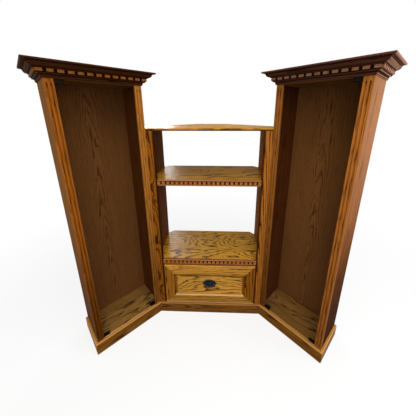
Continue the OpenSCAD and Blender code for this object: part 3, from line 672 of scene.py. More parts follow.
# %% Finish the boards of the centre unit
# Where like boards differ in dim, the two stiles and the two side panels, the difference is
# painted light and shade, and behind paints the top board's underside darker as painted shade.
centre = {
    "top_board": ("oak_board", ACROSS, UP, dict(
        ring=0.018, wave=0.10, flat=0.4, broken=38, heart=(0.05, 0.03), behind=0.3,
        gloss=1.03)),
    "left_side_panel": ("oak_side", UP, ACROSS, dict(
        ring=0.012, gap=0.5, dim=(1.05, 1.1, 1.6), gloss=SATIN_IOR)),
    "right_side_panel": ("oak_side", UP, -ACROSS, dict(
        ring=0.012, gap=0.5, dim=(2.3, 2.4, 1.8), gloss=SATIN_IOR)),
    "left_stile": ("oak_stile", UP, FRONT, dict(
        ring=0.008, feather=0.25, broken=70, gap=0.6, contrast=1.0, seams=STILE_SEAMS,
        knots=LEFT_KNOTS, dim=(1.1, 1.08, 1.1), gloss=SATIN_IOR)),
    "right_stile": ("oak_stile", UP, FRONT, dict(
        ring=0.008, wave=0.02, feather=0.2, heart=(0.035, 0.05), broken=60, gap=0.45,
        contrast=1.0, dim=(1.55, 1.65, 2.6), seams=STILE_SEAMS, gloss=SATIN_IOR)),
    "middle_shelf": ("oak_board", ACROSS, UP, dict(
        ring=0.012, wave=0.12, feather=0.12, flat=0.28, broken=60, gap=0.5, heart=(0.06, 0.03),
        contrast=0.85, dim=(0.74, 0.69, 0.5), gloss=1.035, matt=0.2)),
    "deck": ("oak_board", ACROSS, UP, dict(
        ring=0.010, wave=0.12, feather=0.16, flat=0.42, broken=70, gap=0.72, contrast=1.0,
        gloss=POLISHED_IOR, matt=0.2, knots=DECK_KNOTS)),
    "small_dentils": ("oak_frame", UP, FRONT, dict(
        ring=0.005, contrast=0.45, dim=(0.92, 0.92, 1.3))),
    "drawer_front_panel": ("oak_drawer", ACROSS, FRONT, dict(
        ring=0.009, wave=0.07, feather=0.16, flat=0.6, broken=80, gap=0.45,
        heart=(0.03, 0.04), contrast=1.0, dim=(1.12, 1.18, 1.25), seams=PANEL_SEAMS,
        knots=PANEL_KNOTS_AND_PULL_SHADE)),
}
for node, (tone, along, face, more) in centre.items():
    dress(node, board_finish(node, tone, along, face, middle_of(node), **more))
print("centre unit:", ", ".join(centre))

# %% Finish the plain wood inside
inside = {
    "centre_floor": (ACROSS, UP), "centre_back": (ACROSS, FRONT),
    "slide_blocks": (-FRONT, ACROSS), "drawer_box_front": (ACROSS, FRONT),
    "drawer_box_sides": (-FRONT, ACROSS), "drawer_box_back": (ACROSS, FRONT),
    "drawer_bottom": (ACROSS, UP),
}
for node, (along, face) in inside.items():
    dress(node, board_finish(node, "plain_wood", along, face, middle_of(node), ring=0.007,
                             contrast=0.5, heart=(0.03, 0.06)))
print("inside:", ", ".join(inside))

# %% [markdown]
# ## Eased edges
#
# A joiner never leaves a sharp edge: sandpaper takes a millimetre off, and that thin line
# catches the light. A Bevel modifier does the same to each solid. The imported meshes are
# loose triangles, so a Weld modifier joins them first, and the bevel only takes edges that
# turn by more than 30 degrees, which leaves the flat faces' own triangles alone. A third
# modifier gives the large faces the say over the shading, so that a pane or a shelf
# reflects as a true plane and only the narrow eased edge looks round.

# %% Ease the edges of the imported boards
FINE_PARTS = ("dentils", "slides", "screws", "bushes", "clips", "catch", "glass")
BOARD_EASE, FINE_EASE = 1.4 * MM, 0.7 * MM


def ease_edges(node, width):
    """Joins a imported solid's triangles, rounds its edges and keeps its large faces flat."""
    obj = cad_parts[node]
    weld = obj.modifiers.new("weld", "WELD")
    weld.merge_threshold = 0.02 * MM
    bevel = obj.modifiers.new("eased_edges", "BEVEL")
    bevel.width, bevel.segments = width, 2
    bevel.limit_method, bevel.angle_limit = "ANGLE", math.radians(30)
    bevel.use_clamp_overlap = True
    level = obj.modifiers.new("level_faces", "WEIGHTED_NORMAL")
    level.keep_sharp = False


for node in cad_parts:
    ease_edges(node, FINE_EASE if node.endswith(FINE_PARTS) else BOARD_EASE)
print("eased:", len(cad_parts), "solids")

# %% [markdown]
# ## From a grid of points to a solid skin
#
# Every new piece is a grid: one direction runs along the piece, the other goes round it.
# The points are worked out as whole arrays, and each cell of the grid becomes one face.
# The two open ends are closed by a face each. The sign of the enclosed volume tells
# whether the faces look outwards, and if they don't, all are turned over at once.

# %% A closed skin over a grid
def grid(x, y, z):
    """Points from three arrays of coordinates, each repeated until all have one shape."""
    return np.stack(np.broadcast_arrays(x, y, z), -1)


def skin_faces(rings):
    """Faces over rings[i, j], i along the piece and j round it, with both ends closed."""
    rows, round_it = rings.shape[:2]
    number = np.arange(rows * round_it).reshape(rows, round_it)
    after = np.roll(number, -1, axis=1)
    cells = np.stack([number[:-1], number[1:], after[1:], after[:-1]], -1).reshape(-1, 4)
    return cells, number[0], number[-1][::-1]


def volume(points, cells, ends):
    """A sixth of the sum of each triangle's box product, from the origin."""
    tris = [cells[:, [0, 1, 2]], cells[:, [0, 2, 3]]]
    for end in ends:
        tris.append(np.stack([np.full(len(end) - 2, end[0]), end[1:-1], end[2:]], -1))
    a, b, c = (points[np.concatenate(tris)[:, k]] for k in range(3))
    return float(np.einsum("ij,ij->i", a, np.cross(b, c)).sum() / 6)


cube = grid([0, 1, 1, 0], [0, 0, 1, 1], [[0.0], [1.0]])
cells, low, high = skin_faces(cube)
print("a cube of 1 m encloses", abs(volume(cube.reshape(-1, 3), cells, (low, high))), "m3")

# %% A piece made of closed skins
SHARP_ANGLE = 35


def mark(piece, name, values):
    """Stores a number at each point, for the piece's finish to read."""
    made = piece.data.attributes.new(name, "FLOAT", "POINT")
    made.data.foreach_set("value", np.asarray(values, np.float32).ravel())


def solid(name, grids, body, material, stands_for=(), sharp=SHARP_ANGLE, recess=None):
    """One piece of one or more closed skins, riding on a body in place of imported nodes."""
    points, faces, first = [], [], 0
    for rings in grids:
        cells, low, high = skin_faces(rings)
        flat = rings.reshape(-1, 3)
        outward = volume(flat - flat.mean(0), cells, (low, high)) > 0
        for found in (cells, low[None], high[None]):
            faces += ((found if outward else found[:, ::-1]) + first).tolist()
        points.append(flat)
        first += len(flat)
    mesh = bpy.data.meshes.new(name)
    mesh.from_pydata(np.concatenate(points).tolist(), [], faces)
    mesh.shade_smooth()
    mesh.set_sharp_from_angle(angle=math.radians(sharp))
    mesh.materials.append(material)
    piece = bpy.data.objects.new(name, mesh)
    bpy.context.scene.collection.objects.link(piece)
    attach(piece, body)
    if stands_for:
        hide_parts(*stands_for)
    if recess is not None:
        mark(piece, "recess", np.concatenate([
            np.broadcast_to(recess, rings.shape[:2]).ravel() for rings in grids]))
    return piece


print("edges that turn by more than", SHARP_ANGLE, "degrees stay sharp")

# %% [markdown]
# ## Profiles
#
# Most pieces are a profile carried along a path, as a moulding leaves the cutter. A profile
# is drawn from arcs and straight sides, then its corners are rounded, and points are added
# until they lie close together. How hollow each point is comes from the outline itself: the
# mean of its neighbours lies outside the wood in a groove and inside it on an edge.

# %% Arcs, rounded corners, close points and hollows
def arc(middle, radii, start, stop, steps=10):
    """Part of an oval: middle + radii x (cos a, sin a), for a from start to stop in degrees."""
    a = np.radians(np.linspace(start, stop, steps + 1))
    return np.stack([middle[0] + radii[0] * np.cos(a), middle[1] + radii[1] * np.sin(a)], -1)


def ease(outline, radius, steps=3):
    """Rounds each corner by (1-u)^2 first + 2u(1-u) corner + u^2 last, u from 0 to 1."""
    here = np.asarray(outline, float)
    back, on = np.roll(here, 1, 0) - here, np.roll(here, -1, 0) - here
    sizes = [np.linalg.norm(way, axis=1, keepdims=True) for way in (back, on)]
    first, last = (here + way / size * np.minimum(radius, size * 0.45)
                   for way, size in zip((back, on), sizes))
    u = np.linspace(0, 1, steps + 1)[None, :, None]
    curve = (1 - u) ** 2 * first[:, None] + 2 * u * (1 - u) * here[:, None] + u**2 * last[:, None]
    return curve.reshape(-1, 2)


def closer(outline, step=0.0015):
    """The same closed outline, each side cut into equal parts no longer than a step."""
    way = np.roll(outline, -1, 0) - outline
    parts = np.ceil(np.linalg.norm(way, axis=1) / step).astype(int)
    number = np.arange(parts.sum()) - np.repeat(np.cumsum(parts) - parts, parts)
    share = (number / np.repeat(parts, parts))[:, None]
    return np.repeat(outline, parts, 0) + np.repeat(way, parts, 0) * share


def recess_of(outline, reach=0.005, full=0.0012):
    """How far each point lies below the mean of its neighbours: 1 in a hollow, -1 on an edge.

    The mean gives each neighbour exp(-(distance along the outline / reach)^2) x its length,
    and full is the depth, measured along the outward direction, that counts as 1.
    """
    way = np.roll(outline, -1, 0) - outline
    size = np.linalg.norm(way, axis=1)
    place, total = np.cumsum(size) - size, size.sum()
    gap = np.abs(place[:, None] - place[None, :])
    gap = np.minimum(gap, total - gap)
    weight = np.exp(-(gap / reach) ** 2) * (size + np.roll(size, 1))[None, :]
    mean = weight @ outline / weight.sum(1, keepdims=True)
    tangent = np.roll(outline, -1, 0) - np.roll(outline, 1, 0)
    outward = np.stack([tangent[:, 1], -tangent[:, 0]], -1)
    outward /= np.linalg.norm(outward, axis=1, keepdims=True)
    x, y = outline.T
    turn_way = np.sign((x * np.roll(y, -1) - y * np.roll(x, -1)).sum())
    return np.clip(turn_way * ((mean - outline) * outward).sum(1) / full, -1, 1)


quarter = arc((0, 0), (1, 1), 0, 90)
print("a quarter circle of", len(quarter), "points is", round(np.linalg.norm(
    np.diff(quarter, axis=0), axis=1).sum(), 4), "radii long")

# %% [markdown]
# ## Fluted pilasters
#
# A pilaster is a strip with two flutes, cut by a round-nosed cutter that plunges in below
# the top, runs down and lifts out above the foot. So a flute is the groove that a ball
# leaves along a line. The strip's outline is carried upwards, and the front face is pushed
# in by the ball's depth, which depends on both the place across the face and the height:
# the two parameters of the surface. Rows lie close together where the flutes end.

# %% The fluted surface
TOWER_W, TOWER_D = 520 * MM, 285 * MM
PILASTER_W, FACE_T, ARRIS_R = 46 * MM, 19 * MM, 1.5 * MM
FLUTE_R, FLUTE_DEPTH, FLUTE_PITCH, FLUTE_STOP = 4.5 * MM, 3 * MM, 19 * MM, 27 * MM
PLINTH_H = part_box("centre_plinth")[1].z
HEADER_Z, CASE_TOP = (corner.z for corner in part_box("left_header"))
FLUTE_LOW, FLUTE_HIGH = PLINTH_H + FLUTE_STOP, HEADER_Z - FLUTE_STOP
# Flutes are darkened as glazing and painted shade, most at their ends; the flat face is paled as
# wear and painted highlight.
DARK_IN_FLUTE, SHADE_AT_END, END_REACH, FACE_PALE = 0.36, 0.75, 9 * MM, 0.5


def flute_depth(x, z):
    """How deep a ball cuts at x across the strip and height z, for both flutes at once.

    It is root(radius^2 - offset^2 - distance beyond the end^2) - (radius - full depth).
    """
    beyond = np.maximum(np.maximum(FLUTE_LOW - z, z - FLUTE_HIGH), 0)
    offset = np.abs(np.abs(x) - FLUTE_PITCH / 2)
    left = np.maximum(FLUTE_R**2 - offset**2 - beyond**2, 0)
    return np.maximum(np.sqrt(left) - (FLUTE_R - FLUTE_DEPTH), 0)


def pilaster_rings():
    """Rings of (s from the strip's middle, t, z): its outline at each height, fluted.

    A flute is darkened by a share, for glazing and painted shade, and more at its two ends by
    exp(-(distance/reach)^2), as painted shade of the end walls. The flat face above the plinth
    is made paler: wear and painted highlight.
    """
    half = PILASTER_W / 2
    face = np.linspace(-half + ARRIS_R, half - ARRIS_R, 79)
    front = np.stack([face, np.zeros_like(face)], -1)
    rest = [arc((half - ARRIS_R, ARRIS_R), (ARRIS_R, ARRIS_R), -90, 0, 4)[1:],
            [(half, FACE_T), (-half, FACE_T)],
            arc((ARRIS_R - half, ARRIS_R), (ARRIS_R, ARRIS_R), 180, 270, 4)[:-1]]
    across, back = np.concatenate([front, *rest]).T
    near = np.linspace(-FLUTE_R, FLUTE_R * 0.2, 12)
    plain = np.linspace(FLUTE_LOW + 20 * MM, FLUTE_HIGH - 20 * MM, 8)
    z = np.concatenate([[0, PLINTH_H], FLUTE_LOW + near, plain, FLUTE_HIGH - near[::-1],
                        [HEADER_Z, CASE_TOP]])[:, None]
    depth = np.where(back <= 0, flute_depth(across, z), 0)
    inside_end = np.minimum(z - FLUTE_LOW, FLUTE_HIGH - z) + FLUTE_R
    at_end = np.exp(-(inside_end / END_REACH) ** 2)
    recess = depth / FLUTE_DEPTH * (DARK_IN_FLUTE + SHADE_AT_END * at_end)
    rubbed_and_lit = FACE_PALE * (depth == 0) * (z > PLINTH_H)
    return across, back + depth, z, np.clip(recess - rubbed_and_lit, -1, 1)


s, t, z, recess = pilaster_rings()
print("a pilaster:", recess.shape, "points, flutes", round(FLUTE_HIGH - FLUTE_LOW, 3), "m long")

# %% Set the pilasters on the towers
# foot darkens each pilaster towards the floor: painted shade.
PILASTER_LOOKS = {
    "left_outer": dict(dim=(0.60, 0.45, 0.22), foot=0.42),
    "left_inner": dict(dim=(0.85, 0.83, 1.05), foot=0.62),
    "right_inner": dict(dim=(0.65, 0.56, 0.72), foot=0.56),
    "right_outer": dict(dim=(0.87, 0.74, 0.95), foot=0.75)}


def tower(side, s, t, z):
    """A point of a tower's own plan, mirrored by side, with s along its front and t back.

    x is half the centre's width + (s + t) / root 2, and y the front + (t - s) / root 2.
    """
    return grid(side * (HALF_W + (s + t) * WING), FRONT_Y + (t - s) * WING, z)


for name, side in SIDES.items():
    s_way, t_way = front_way(side)
    for which, middle in (("outer", TOWER_W - PILASTER_W / 2), ("inner", PILASTER_W / 2)):
        node = f"{name}_{which}_pilaster"
        look = board_finish(node + "_oak", "oak_frame", UP, -t_way, middle_of(node),
                            ring=0.006, wave=0.02, feather=0.3, broken=130, gap=0.45,
                            heart=(0.02, 0.05), contrast=0.9, glaze_wear_and_light=True,
                            **PILASTER_LOOKS[f"{name}_{which}"])
        solid(node + "_fluted", [tower(side, s + middle, t, z)], "cabinet", look,
              [node], recess=recess)
print("pilasters:", len(PILASTER_LOOKS))

# %% [markdown]
# ## Cornice
#
# The cornice is one moulding, run off as a long stick and mitred at the corners: from the
# bottom a bead, a cove-like ovolo, the flat band that carries the dentils, a round, and a
# fascia along the top. A profile carried along a path is exactly this piece. Each profile
# point stands a distance out from the tower, and at a mitre the stick is longer by the
# same distance, so the cut lies in one plane.

# %% Run the cornices round the towers
BAND_OUT, BAND_LOW, BAND_HIGH = 24 * MM, 22 * MM, 44 * MM
CROWN_LOOKS = {"left": dict(dim=0.8, rub_and_highlight=0.8, pale=0.003),
               "right": dict(dim=(1.2, 1.35, 2.4), rub_and_highlight=1.1)}
RETURN_TINTS = {"left": (0.09, 0.06, 0.04), "right": (1.0, 0.57, 0.40)}


def cornice_profile():
    """The moulding's outline as (distance out, height above its lower edge)."""
    points = np.concatenate([
        [(0, 0), (5, 0), (5, 4), (8, 6), (8, 10)], arc((18, 10), (10, 10), 180, 140),
        [(20, 18), (20, 22), (24, 24), (24, 42), (33, 42), (33, 46)],
        arc((35, 66), (20, 20), -90, 0),
        [(58, 66), (60, 68), (72, 69), (74, 71), (74, 78), (0, 78)],
    ]) * MM
    return closer(ease(points, 0.7 * MM, 2))


profile = cornice_profile()
out, up = profile.T
# In the dentil band the recess is set to 1, which darkens it: glazing, and painted shade in the
# gaps between the dentils.
in_band = (abs(out - BAND_OUT) < MM) & (up > BAND_LOW) & (up < BAND_HIGH)
sunk = np.where(in_band, 1.0, recess_of(profile))
up = up + HEADER_Z
run = np.array([0.0, 1.0])[:, None]    # the two ends of a straight piece
for name, side in SIDES.items():
    s_way, t_way = front_way(side)
    front = tower(side, -out + run * (TOWER_W + 2 * out), -out, up)
    node = f"{name}_cornice_front"
    look = board_finish(node + "_oak", "oak_cornice", s_way, -t_way, middle_of(node),
                        ring=0.010, heart=(0.03, 0.05), glaze_wear_and_light=True, **CROWN_LOOKS[name])
    solid(f"{name}_crown_front", [front], "cabinet", look, [node], recess=sunk)
    depth = -out + run * (TOWER_D + out)
    node = f"{name}_cornice_returns"
    # The returns' edges are painted pale: wear and painted highlight.
    look = board_finish(node + "_oak", "oak_cornice", t_way, s_way, middle_of(node),
                        ring=0.010, heart=(0.03, 0.05), glaze_wear_and_light=True, rub_and_highlight=3.0,
                        gloss=SATIN_IOR, matt=0.42, glare=(RETURN_TINTS[name], *EVERYWHERE))
    solid(f"{name}_crown_returns",
          [tower(side, TOWER_W + out, depth, up), tower(side, -out, depth, up)],
          "cabinet", look, [node], recess=sunk)
print("cornice profile:", len(profile), "points")

# %% [markdown]
# ## Plinth
#
# The plinth boards stand on the floor in front of the case. Their upper edge is rounded
# over, which draws a bright line all along the foot of the piece, and that line is also
# painted pale on the edge: wear and painted highlight. They meet the centre unit in a
# shallow mitre and the tower's outer side in a square one.

# %% Run the plinth boards
PLINTH_T, PLINTH_EASE = 16 * MM, 6 * MM
corner = PLINTH_T - PLINTH_EASE, PLINTH_H - PLINTH_EASE
edge = closer(np.concatenate([[(0, 0), (PLINTH_T, 0)], arc(corner, (PLINTH_EASE,) * 2, 0, 90, 8),
                              [(0, PLINTH_H)]]))
(out, up), sunk = edge.T, recess_of(edge, reach=9 * MM, full=2.5 * MM)
shallow = math.tan(math.radians(22.5))
half = HALF_W - out * shallow
plinths = {}
for name, side in SIDES.items():
    s_way, t_way = front_way(side)
    plinths[f"{name}_plinth_front"] = (s_way, -t_way, 0.82, 3.2, tower(
        side, out * shallow + run * (TOWER_W + out - out * shallow), -out, up))
    plinths[f"{name}_plinth_side"] = (t_way, s_way, 1.0, 3.2, tower(
        side, TOWER_W + out, -out + run * (TOWER_D + out), up))
plinths["centre_plinth"] = (ACROSS, FRONT, 0.78, 2.0, grid(
    -half + run * 2 * half, FRONT_Y - out, up))
# The fourth number paints the rounded top edge pale: wear and painted highlight.
for node, (along, face, dim, rub_and_highlight, rings) in plinths.items():
    look = board_finish(node + "_oak", "oak_plinth", along, face, middle_of(node), dim=dim,
                        ring=0.009, gap=0.4, heart=(0.02, 0.06), glaze_wear_and_light=True, rub_and_highlight=rub_and_highlight)
    solid(node + "_board", [rings], "cabinet", look, [node], recess=sunk)
print("plinth boards:", ", ".join(plinths))

# %% [markdown]
# ## Shelf mouldings
#
# The strip along the front of the shelf and of the deck has a plain rounded edge, a sunk
# band that holds a row of dentils in shadow, and a small fillet below. The band is also
# painted dark, as glazing and painted shade, and the rounded edges pale, as wear and
# painted highlight.

# %% Run the strips along the shelf and the deck
STILE_IN = HALF_W - 56 * MM
# The second number darkens the dentil band: glazing and painted shade.
STRIPS = {"shelf_moulding": (47 * MM, 1.0), "deck_moulding": (56 * MM, 0.85)}


def strip_profile(top, height):
    """The strip's outline as (depth behind the front, height)."""
    low, band = top - height, top - 35 * MM
    points = [(19 * MM, low), (4 * MM, low), (2 * MM, low + 2 * MM), (2 * MM, band - 3 * MM),
              (4 * MM, band - 2 * MM), (5 * MM, band), (7 * MM, band), (7 * MM, top - 8 * MM),
              (0, top - 8 * MM), (0, top - 2 * MM), (2 * MM, top), (19 * MM, top)]
    return closer(ease(points, 1.2 * MM, 3))


for node, (height, dark_in_band) in STRIPS.items():
    strip = strip_profile(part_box(node)[1].z, height)
    depth, up = strip.T
    in_band = (depth > 6 * MM) & (depth < 9 * MM)
    # Rounded edges are painted pale: wear and painted highlight.
    look = board_finish(node + "_oak", "oak_frame", ACROSS, FRONT, middle_of(node),
                        ring=0.012, heart=(0.01, 0.04), dim=(0.50, 0.40, 0.5), glaze_wear_and_light=True,
                        rub_and_highlight=1.9, pale=0.05)
    solid(node + "_strip", [grid(-STILE_IN + run * 2 * STILE_IN, FRONT_Y + depth, up)],
          "cabinet", look, [node],
          recess=np.where(in_band, dark_in_band, recess_of(strip)))
print("strips:", ", ".join(STRIPS), "each", round(2 * STILE_IN, 3), "m long")

# %% [markdown]
# ## Drawer front
#
# The frame of the drawer front is four oak members, mitred at the corners like a picture
# frame, with a moulded inner edge that steps down to the sunk panel. Each member is a
# profile carried along its own length and cut by two mitres. They are separate pieces, so
# that the grain turns the corner with the wood, as it does on the real one. The step beside
# the moulding of the top and side members is painted dark, as painted shade under the
# moulding's edge, and the upturned moulding of the low member is painted pale, as a painted
# highlight. The members' tones also differ, as painted light for the way each grain
# direction throws the light back.

# %% Make the four members of the drawer front
FRAME_LOW, FRAME_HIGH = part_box("drawer_front_frame")
FRONT_T = FRAME_HIGH.y - FRAME_LOW.y
MOULD_W, MOULD_D, PANEL_T = 14 * MM, 12 * MM, 6 * MM
STILE_W, TOP_W, LOW_W = 84 * MM, 92 * MM, 72 * MM
# The members' dims are painted light for how each grain direction throws light back; the low
# member's pale edge is a painted highlight.
MEMBER_LOOKS = {
    "drawer_left_member": dict(dim=(0.60, 0.50, 0.36)),
    "drawer_right_member": dict(dim=(0.46, 0.33, 0.18)),
    "drawer_low_member": dict(dim=0.77, rub_and_highlight=1.45, pale=0.11),
    "drawer_top_member": dict(dim=1.0)}
MOULDING_LIGHT_AND_SHADE = {"drawer_left_member": 0.1, "drawer_right_member": 0.1,
                   "drawer_low_member": -1, "drawer_top_member": 0.4}


def member_profile(width):
    """Across one member: (place in from its outer edge, depth behind its face)."""
    a = np.linspace(0, math.pi / 2, 13)
    curve = np.stack([width + (MOULD_W - 2 * MM) * (1 - np.cos(a)),
                      2 * MM + (MOULD_D - 3 * MM) * np.sin(a)], -1)
    inner = width + MOULD_W
    return closer(np.concatenate([
        arc((2 * MM, 2 * MM), (2 * MM, 2 * MM), 180, 270, 4),
        [(width - 0.6 * MM, 0), (width, 0.6 * MM)], curve,
        [(inner, MOULD_D - MM), (inner, MOULD_D), (inner - GROOVE, MOULD_D),
         (inner - GROOVE, MOULD_D + PANEL_T), (inner, MOULD_D + PANEL_T), (inner, FRONT_T),
         (0, FRONT_T)],
    ]))


def mitre(inward, width, next_width):
    """How far the cut has come along: the widths' ratio on the face, 1 to 1 on the moulding."""
    return np.where(inward > width, next_width + inward - width, inward / width * next_width)


def member_look(name, along, middle):
    """The finish of one member, its tone set apart from the others as painted light for the way
    its grain throws light back.
    """
    return board_finish(name + "_oak", "oak_drawer", along, FRONT, middle, ring=0.016,
                        wave=0.05, broken=55, heart=(0.03, 0.05), glaze_wear_and_light=True,
                        **MEMBER_LOOKS[name])


members = {
    "drawer_left_member": (STILE_W, UP, FRAME_LOW.x, 1),
    "drawer_right_member": (STILE_W, UP, FRAME_HIGH.x, -1),
    "drawer_low_member": (LOW_W, ACROSS, FRAME_LOW.z, 1),
    "drawer_top_member": (TOP_W, ACROSS, FRAME_HIGH.z, -1),
}
centre_x, _, centre_z = (FRAME_LOW + FRAME_HIGH) / 2
for name, (width, along, edge, way) in members.items():
    shape = member_profile(width)
    inward, depth = shape.T
    if along is UP:
        start = FRAME_LOW.z + mitre(inward, width, LOW_W)
        stop = FRAME_HIGH.z - mitre(inward, width, TOP_W)
        rings = grid(edge + way * inward, FRAME_LOW.y + depth, start + run * (stop - start))
        middle = (edge + way * width / 2, FRAME_LOW.y, centre_z)
    else:
        start = FRAME_LOW.x + mitre(inward, width, STILE_W)
        stop = FRAME_HIGH.x - mitre(inward, width, STILE_W)
        rings = grid(start + run * (stop - start), FRAME_LOW.y + depth, edge + way * inward)
        middle = (centre_x, FRAME_LOW.y, edge + way * width / 2)
    # Painted light and shade: a dark step and moulding on the top and side members, a pale
    # moulding on the upturned low one.
    moulded = (inward > width - 2 * MM) & (depth < MOULD_D - 2 * MM)
    step = (abs(inward - width) < 3.5 * MM) & (depth < 5 * MM)
    sunk = np.where(moulded, MOULDING_LIGHT_AND_SHADE[name], recess_of(shape))
    if name != "drawer_low_member":
        sunk = np.where(step, 1, sunk)
    solid(name, [rings], "drawer", member_look(name, along, middle),
          ["drawer_front_frame"] if name == "drawer_top_member" else [], recess=sunk)
print("drawer front:", ", ".join(members))

# %% [markdown]
# ## Metal and plastic finishes
#
# The clips are lacquered steel, the pull is cast and browned almost to black with the
# raised parts rubbed a little brighter, the slides are bright steel, the screws are browned
# steel, and the bushes and catches are moulded nylon. Each gets slow noise in its tone and
# gloss, because a touched surface is never evenly shiny, and fine noise in its relief. The
# pull's pieces carry an attribute that mixes in the bright metal: wear, and on the rim, the
# boss and the bail's grip a painted highlight.

# %% Finishes of the fittings
def fitting_finish(name, light, dark, metal, gloss, lumps, relief, rub_and_highlight=None, ior=1.5):
    """A metal or plastic: noise mixes two tones and two levels of roughness (gloss).

    metal is 1 for uncoated metal, lumps the noise's count per metre, relief its fine depth.
    """
    made, tree = new_material(name)
    point = add(tree, "TexCoord").outputs["Object"]
    cloud = ramp(tree, noise(tree, point, (lumps,) * 3, 4, 0.6)["Fac"], 0.3, 0.7)
    grain = noise(tree, point, (lumps * 12,) * 3, 2)["Fac"]
    colour = blend(tree, cloud, rgb(*dark), rgb(*light))
    if rub_and_highlight is not None:
        rubbed_and_lit = add(tree, "Attribute", attribute_name="rubbed_and_lit").outputs["Fac"]
        colour = blend(tree, rubbed_and_lit, colour, rgb(*rub_and_highlight))
    bump = add(tree, "Bump", {"Height": grain, "Strength": 0.4, "Distance": relief})
    shader = add(tree, "BsdfPrincipled", {
        "Base Color": colour, "Metallic": metal, "IOR": ior, "Normal": bump.outputs[0],
        "Roughness": ramp(tree, cloud, 0, 1, gloss[0], gloss[1])})
    add(tree, "OutputMaterial", {"Surface": shader.outputs[0]})
    return made


black_metal = fitting_finish("black_metal", (0.014, 0.010, 0.007), (0.006, 0.004, 0.003),
                             0.0, (0.50, 0.65), 40, 0.05 * MM, ior=1.08)
black_nylon = fitting_finish("black_nylon", (0.022, 0.022, 0.023), (0.014, 0.014, 0.014),
                             0.0, (0.45, 0.6), 60, 0.04 * MM)
slide_steel = fitting_finish("slide_steel", (0.62, 0.62, 0.63), (0.45, 0.45, 0.46),
                             1.0, (0.22, 0.38), 30, 0.02 * MM)
dark_bronze = fitting_finish("dark_bronze", (0.009, 0.008, 0.009), (0.004, 0.004, 0.005),
                             0.15, (0.30, 0.45), 60, 0.10 * MM, rub_and_highlight=(0.090, 0.086, 0.088),
                             ior=1.2)
dark_steel = fitting_finish("dark_steel", (0.10, 0.085, 0.06), (0.05, 0.04, 0.03),
                            1.0, (0.45, 0.60), 80, 0.03 * MM)
fittings = {"fixed_slides": slide_steel, "moving_slides": slide_steel,
            "joining_screws": dark_steel, "pull_screws": dark_steel}
for name in SIDES:
    fittings |= {f"{name}_clips": black_metal, f"{name}_bushes": black_nylon,
                 f"{name}_catch": black_nylon}
for node, finish in fittings.items():
    dress(node, finish)
print("fittings:", ", ".join(fittings))

# %% [markdown]
# ## Smoked glass
#
# Each door is one pane of grey-brown glass with polished edges. In glass the colour sits in
# the body of the pane, and the renderer's glass shader tints light once at each face. Light
# from the lamps would hardly find its way through the bending faces, so for shadow rays the
# pane is only a grey filter. That lights the inside of the towers as the real glass does.
# A low index keeps the white surround's reflection faint, which also keeps it free of noise.

# %% Finish of the glass doors
PANE_TINT, SHADE_TINT, PANE_IOR = rgb(0.69, 0.645, 0.63), rgb(0.80, 0.77, 0.74), 1.05
HAZE_LUMPS, HAZE = (3.0, 3.0, 1.5), 0.012
smoked_glass, tree = new_material("smoked_glass")
point = add(tree, "TexCoord").outputs["Object"]
haze = ramp(tree, noise(tree, point, HAZE_LUMPS, 3)["Fac"], 0.3, 0.8, 0.0, HAZE)
pane = add(tree, "BsdfPrincipled", {
    "Base Color": PANE_TINT, "Roughness": haze, "IOR": PANE_IOR, "Transmission Weight": 1.0})
shade = add(tree, "BsdfTransparent", {"Color": SHADE_TINT})
both = add(tree, "MixShader", {0: add(tree, "LightPath").outputs["Is Shadow Ray"],
                               1: pane.outputs[0], 2: shade.outputs[0]})
add(tree, "OutputMaterial", {"Surface": both.outputs[0]})
for name in SIDES:
    dress(f"{name}_glass", smoked_glass)
print("glass doors:", len(SIDES))

# %% [markdown]
# ## The drawer pull
#
# The pull is an old pattern: an oval backplate with a pointed tip at each end, two turned
# posts, and a bail that hangs between them. The backplate is a surface of two parameters,
# the angle round it and the way from the middle to the rim: a low boss in the middle, a
# dished field, a bead and a rolled rim. A post is a profile turned about its own axis. The
# rim, the boss and the posts' ends are painted brighter where hands have rubbed the brown
# away, and on the rim and the boss that brightness is also a painted highlight.

# %% Backplate and posts
PLATE_W, PLATE_H, PLATE_TIPS, TIP_POWER = 114 * MM, 80 * MM, 127 * MM, 24
POST_X, ROUND_STEP = 38 * MM, 15
# Raised parts are painted brighter: wear, and on the rim and the boss painted highlights.
PALE_FROM, PALE_OVER = 1.2, 0.6    # heights on the plate, in mm
RIM_PALE, BOSS_PALE, POST_RUB = 0.9, 0.12, 0.8
PLATE_STEPS = np.array([
    (0.05, 0.0), (1.0, 0.0), (1.0, 0.8), (0.985, 1.4), (0.95, 1.7), (0.915, 1.4), (0.895, 0.9),
    (0.87, 1.5), (0.84, 1.8), (0.81, 1.5), (0.79, 1.0), (0.70, 0.8), (0.55, 0.9), (0.45, 1.2),
    (0.40, 1.9), (0.35, 2.3), (0.28, 2.6), (0.18, 2.85), (0.08, 2.97), (0.02, 3.0)])
POST_STEPS = np.array([
    (7.0, 1.2), (7.0, 2.6), (6.2, 3.4), (4.6, 4.2), (4.1, 6), (4.2, 9), (4.8, 11), (5.0, 13),
    (5.0, 16.5), (4.6, 18.6), (3.6, 20.0), (2.0, 20.8), (0.3, 21.0)]) * MM


def plate_rings():
    """Rings from the back up over the rim to the middle, each an oval times its share.

    A step is (share of the oval, height in mm). The tips are the oval's width plus
    |cos a|^TIP_POWER, which is only felt close to the two ends.
    """
    a = np.radians(np.arange(0, 360, 3))
    tip = (PLATE_TIPS - PLATE_W) / 2 * np.abs(np.cos(a)) ** TIP_POWER
    x, z = (PLATE_W / 2 + tip) * np.cos(a), PLATE_H / 2 * np.sin(a)
    share, height = PLATE_STEPS[:, :1], PLATE_STEPS[:, 1:] * MM
    return grid(x * share, PANEL_FRONT - height, PULL_Z + z * share)


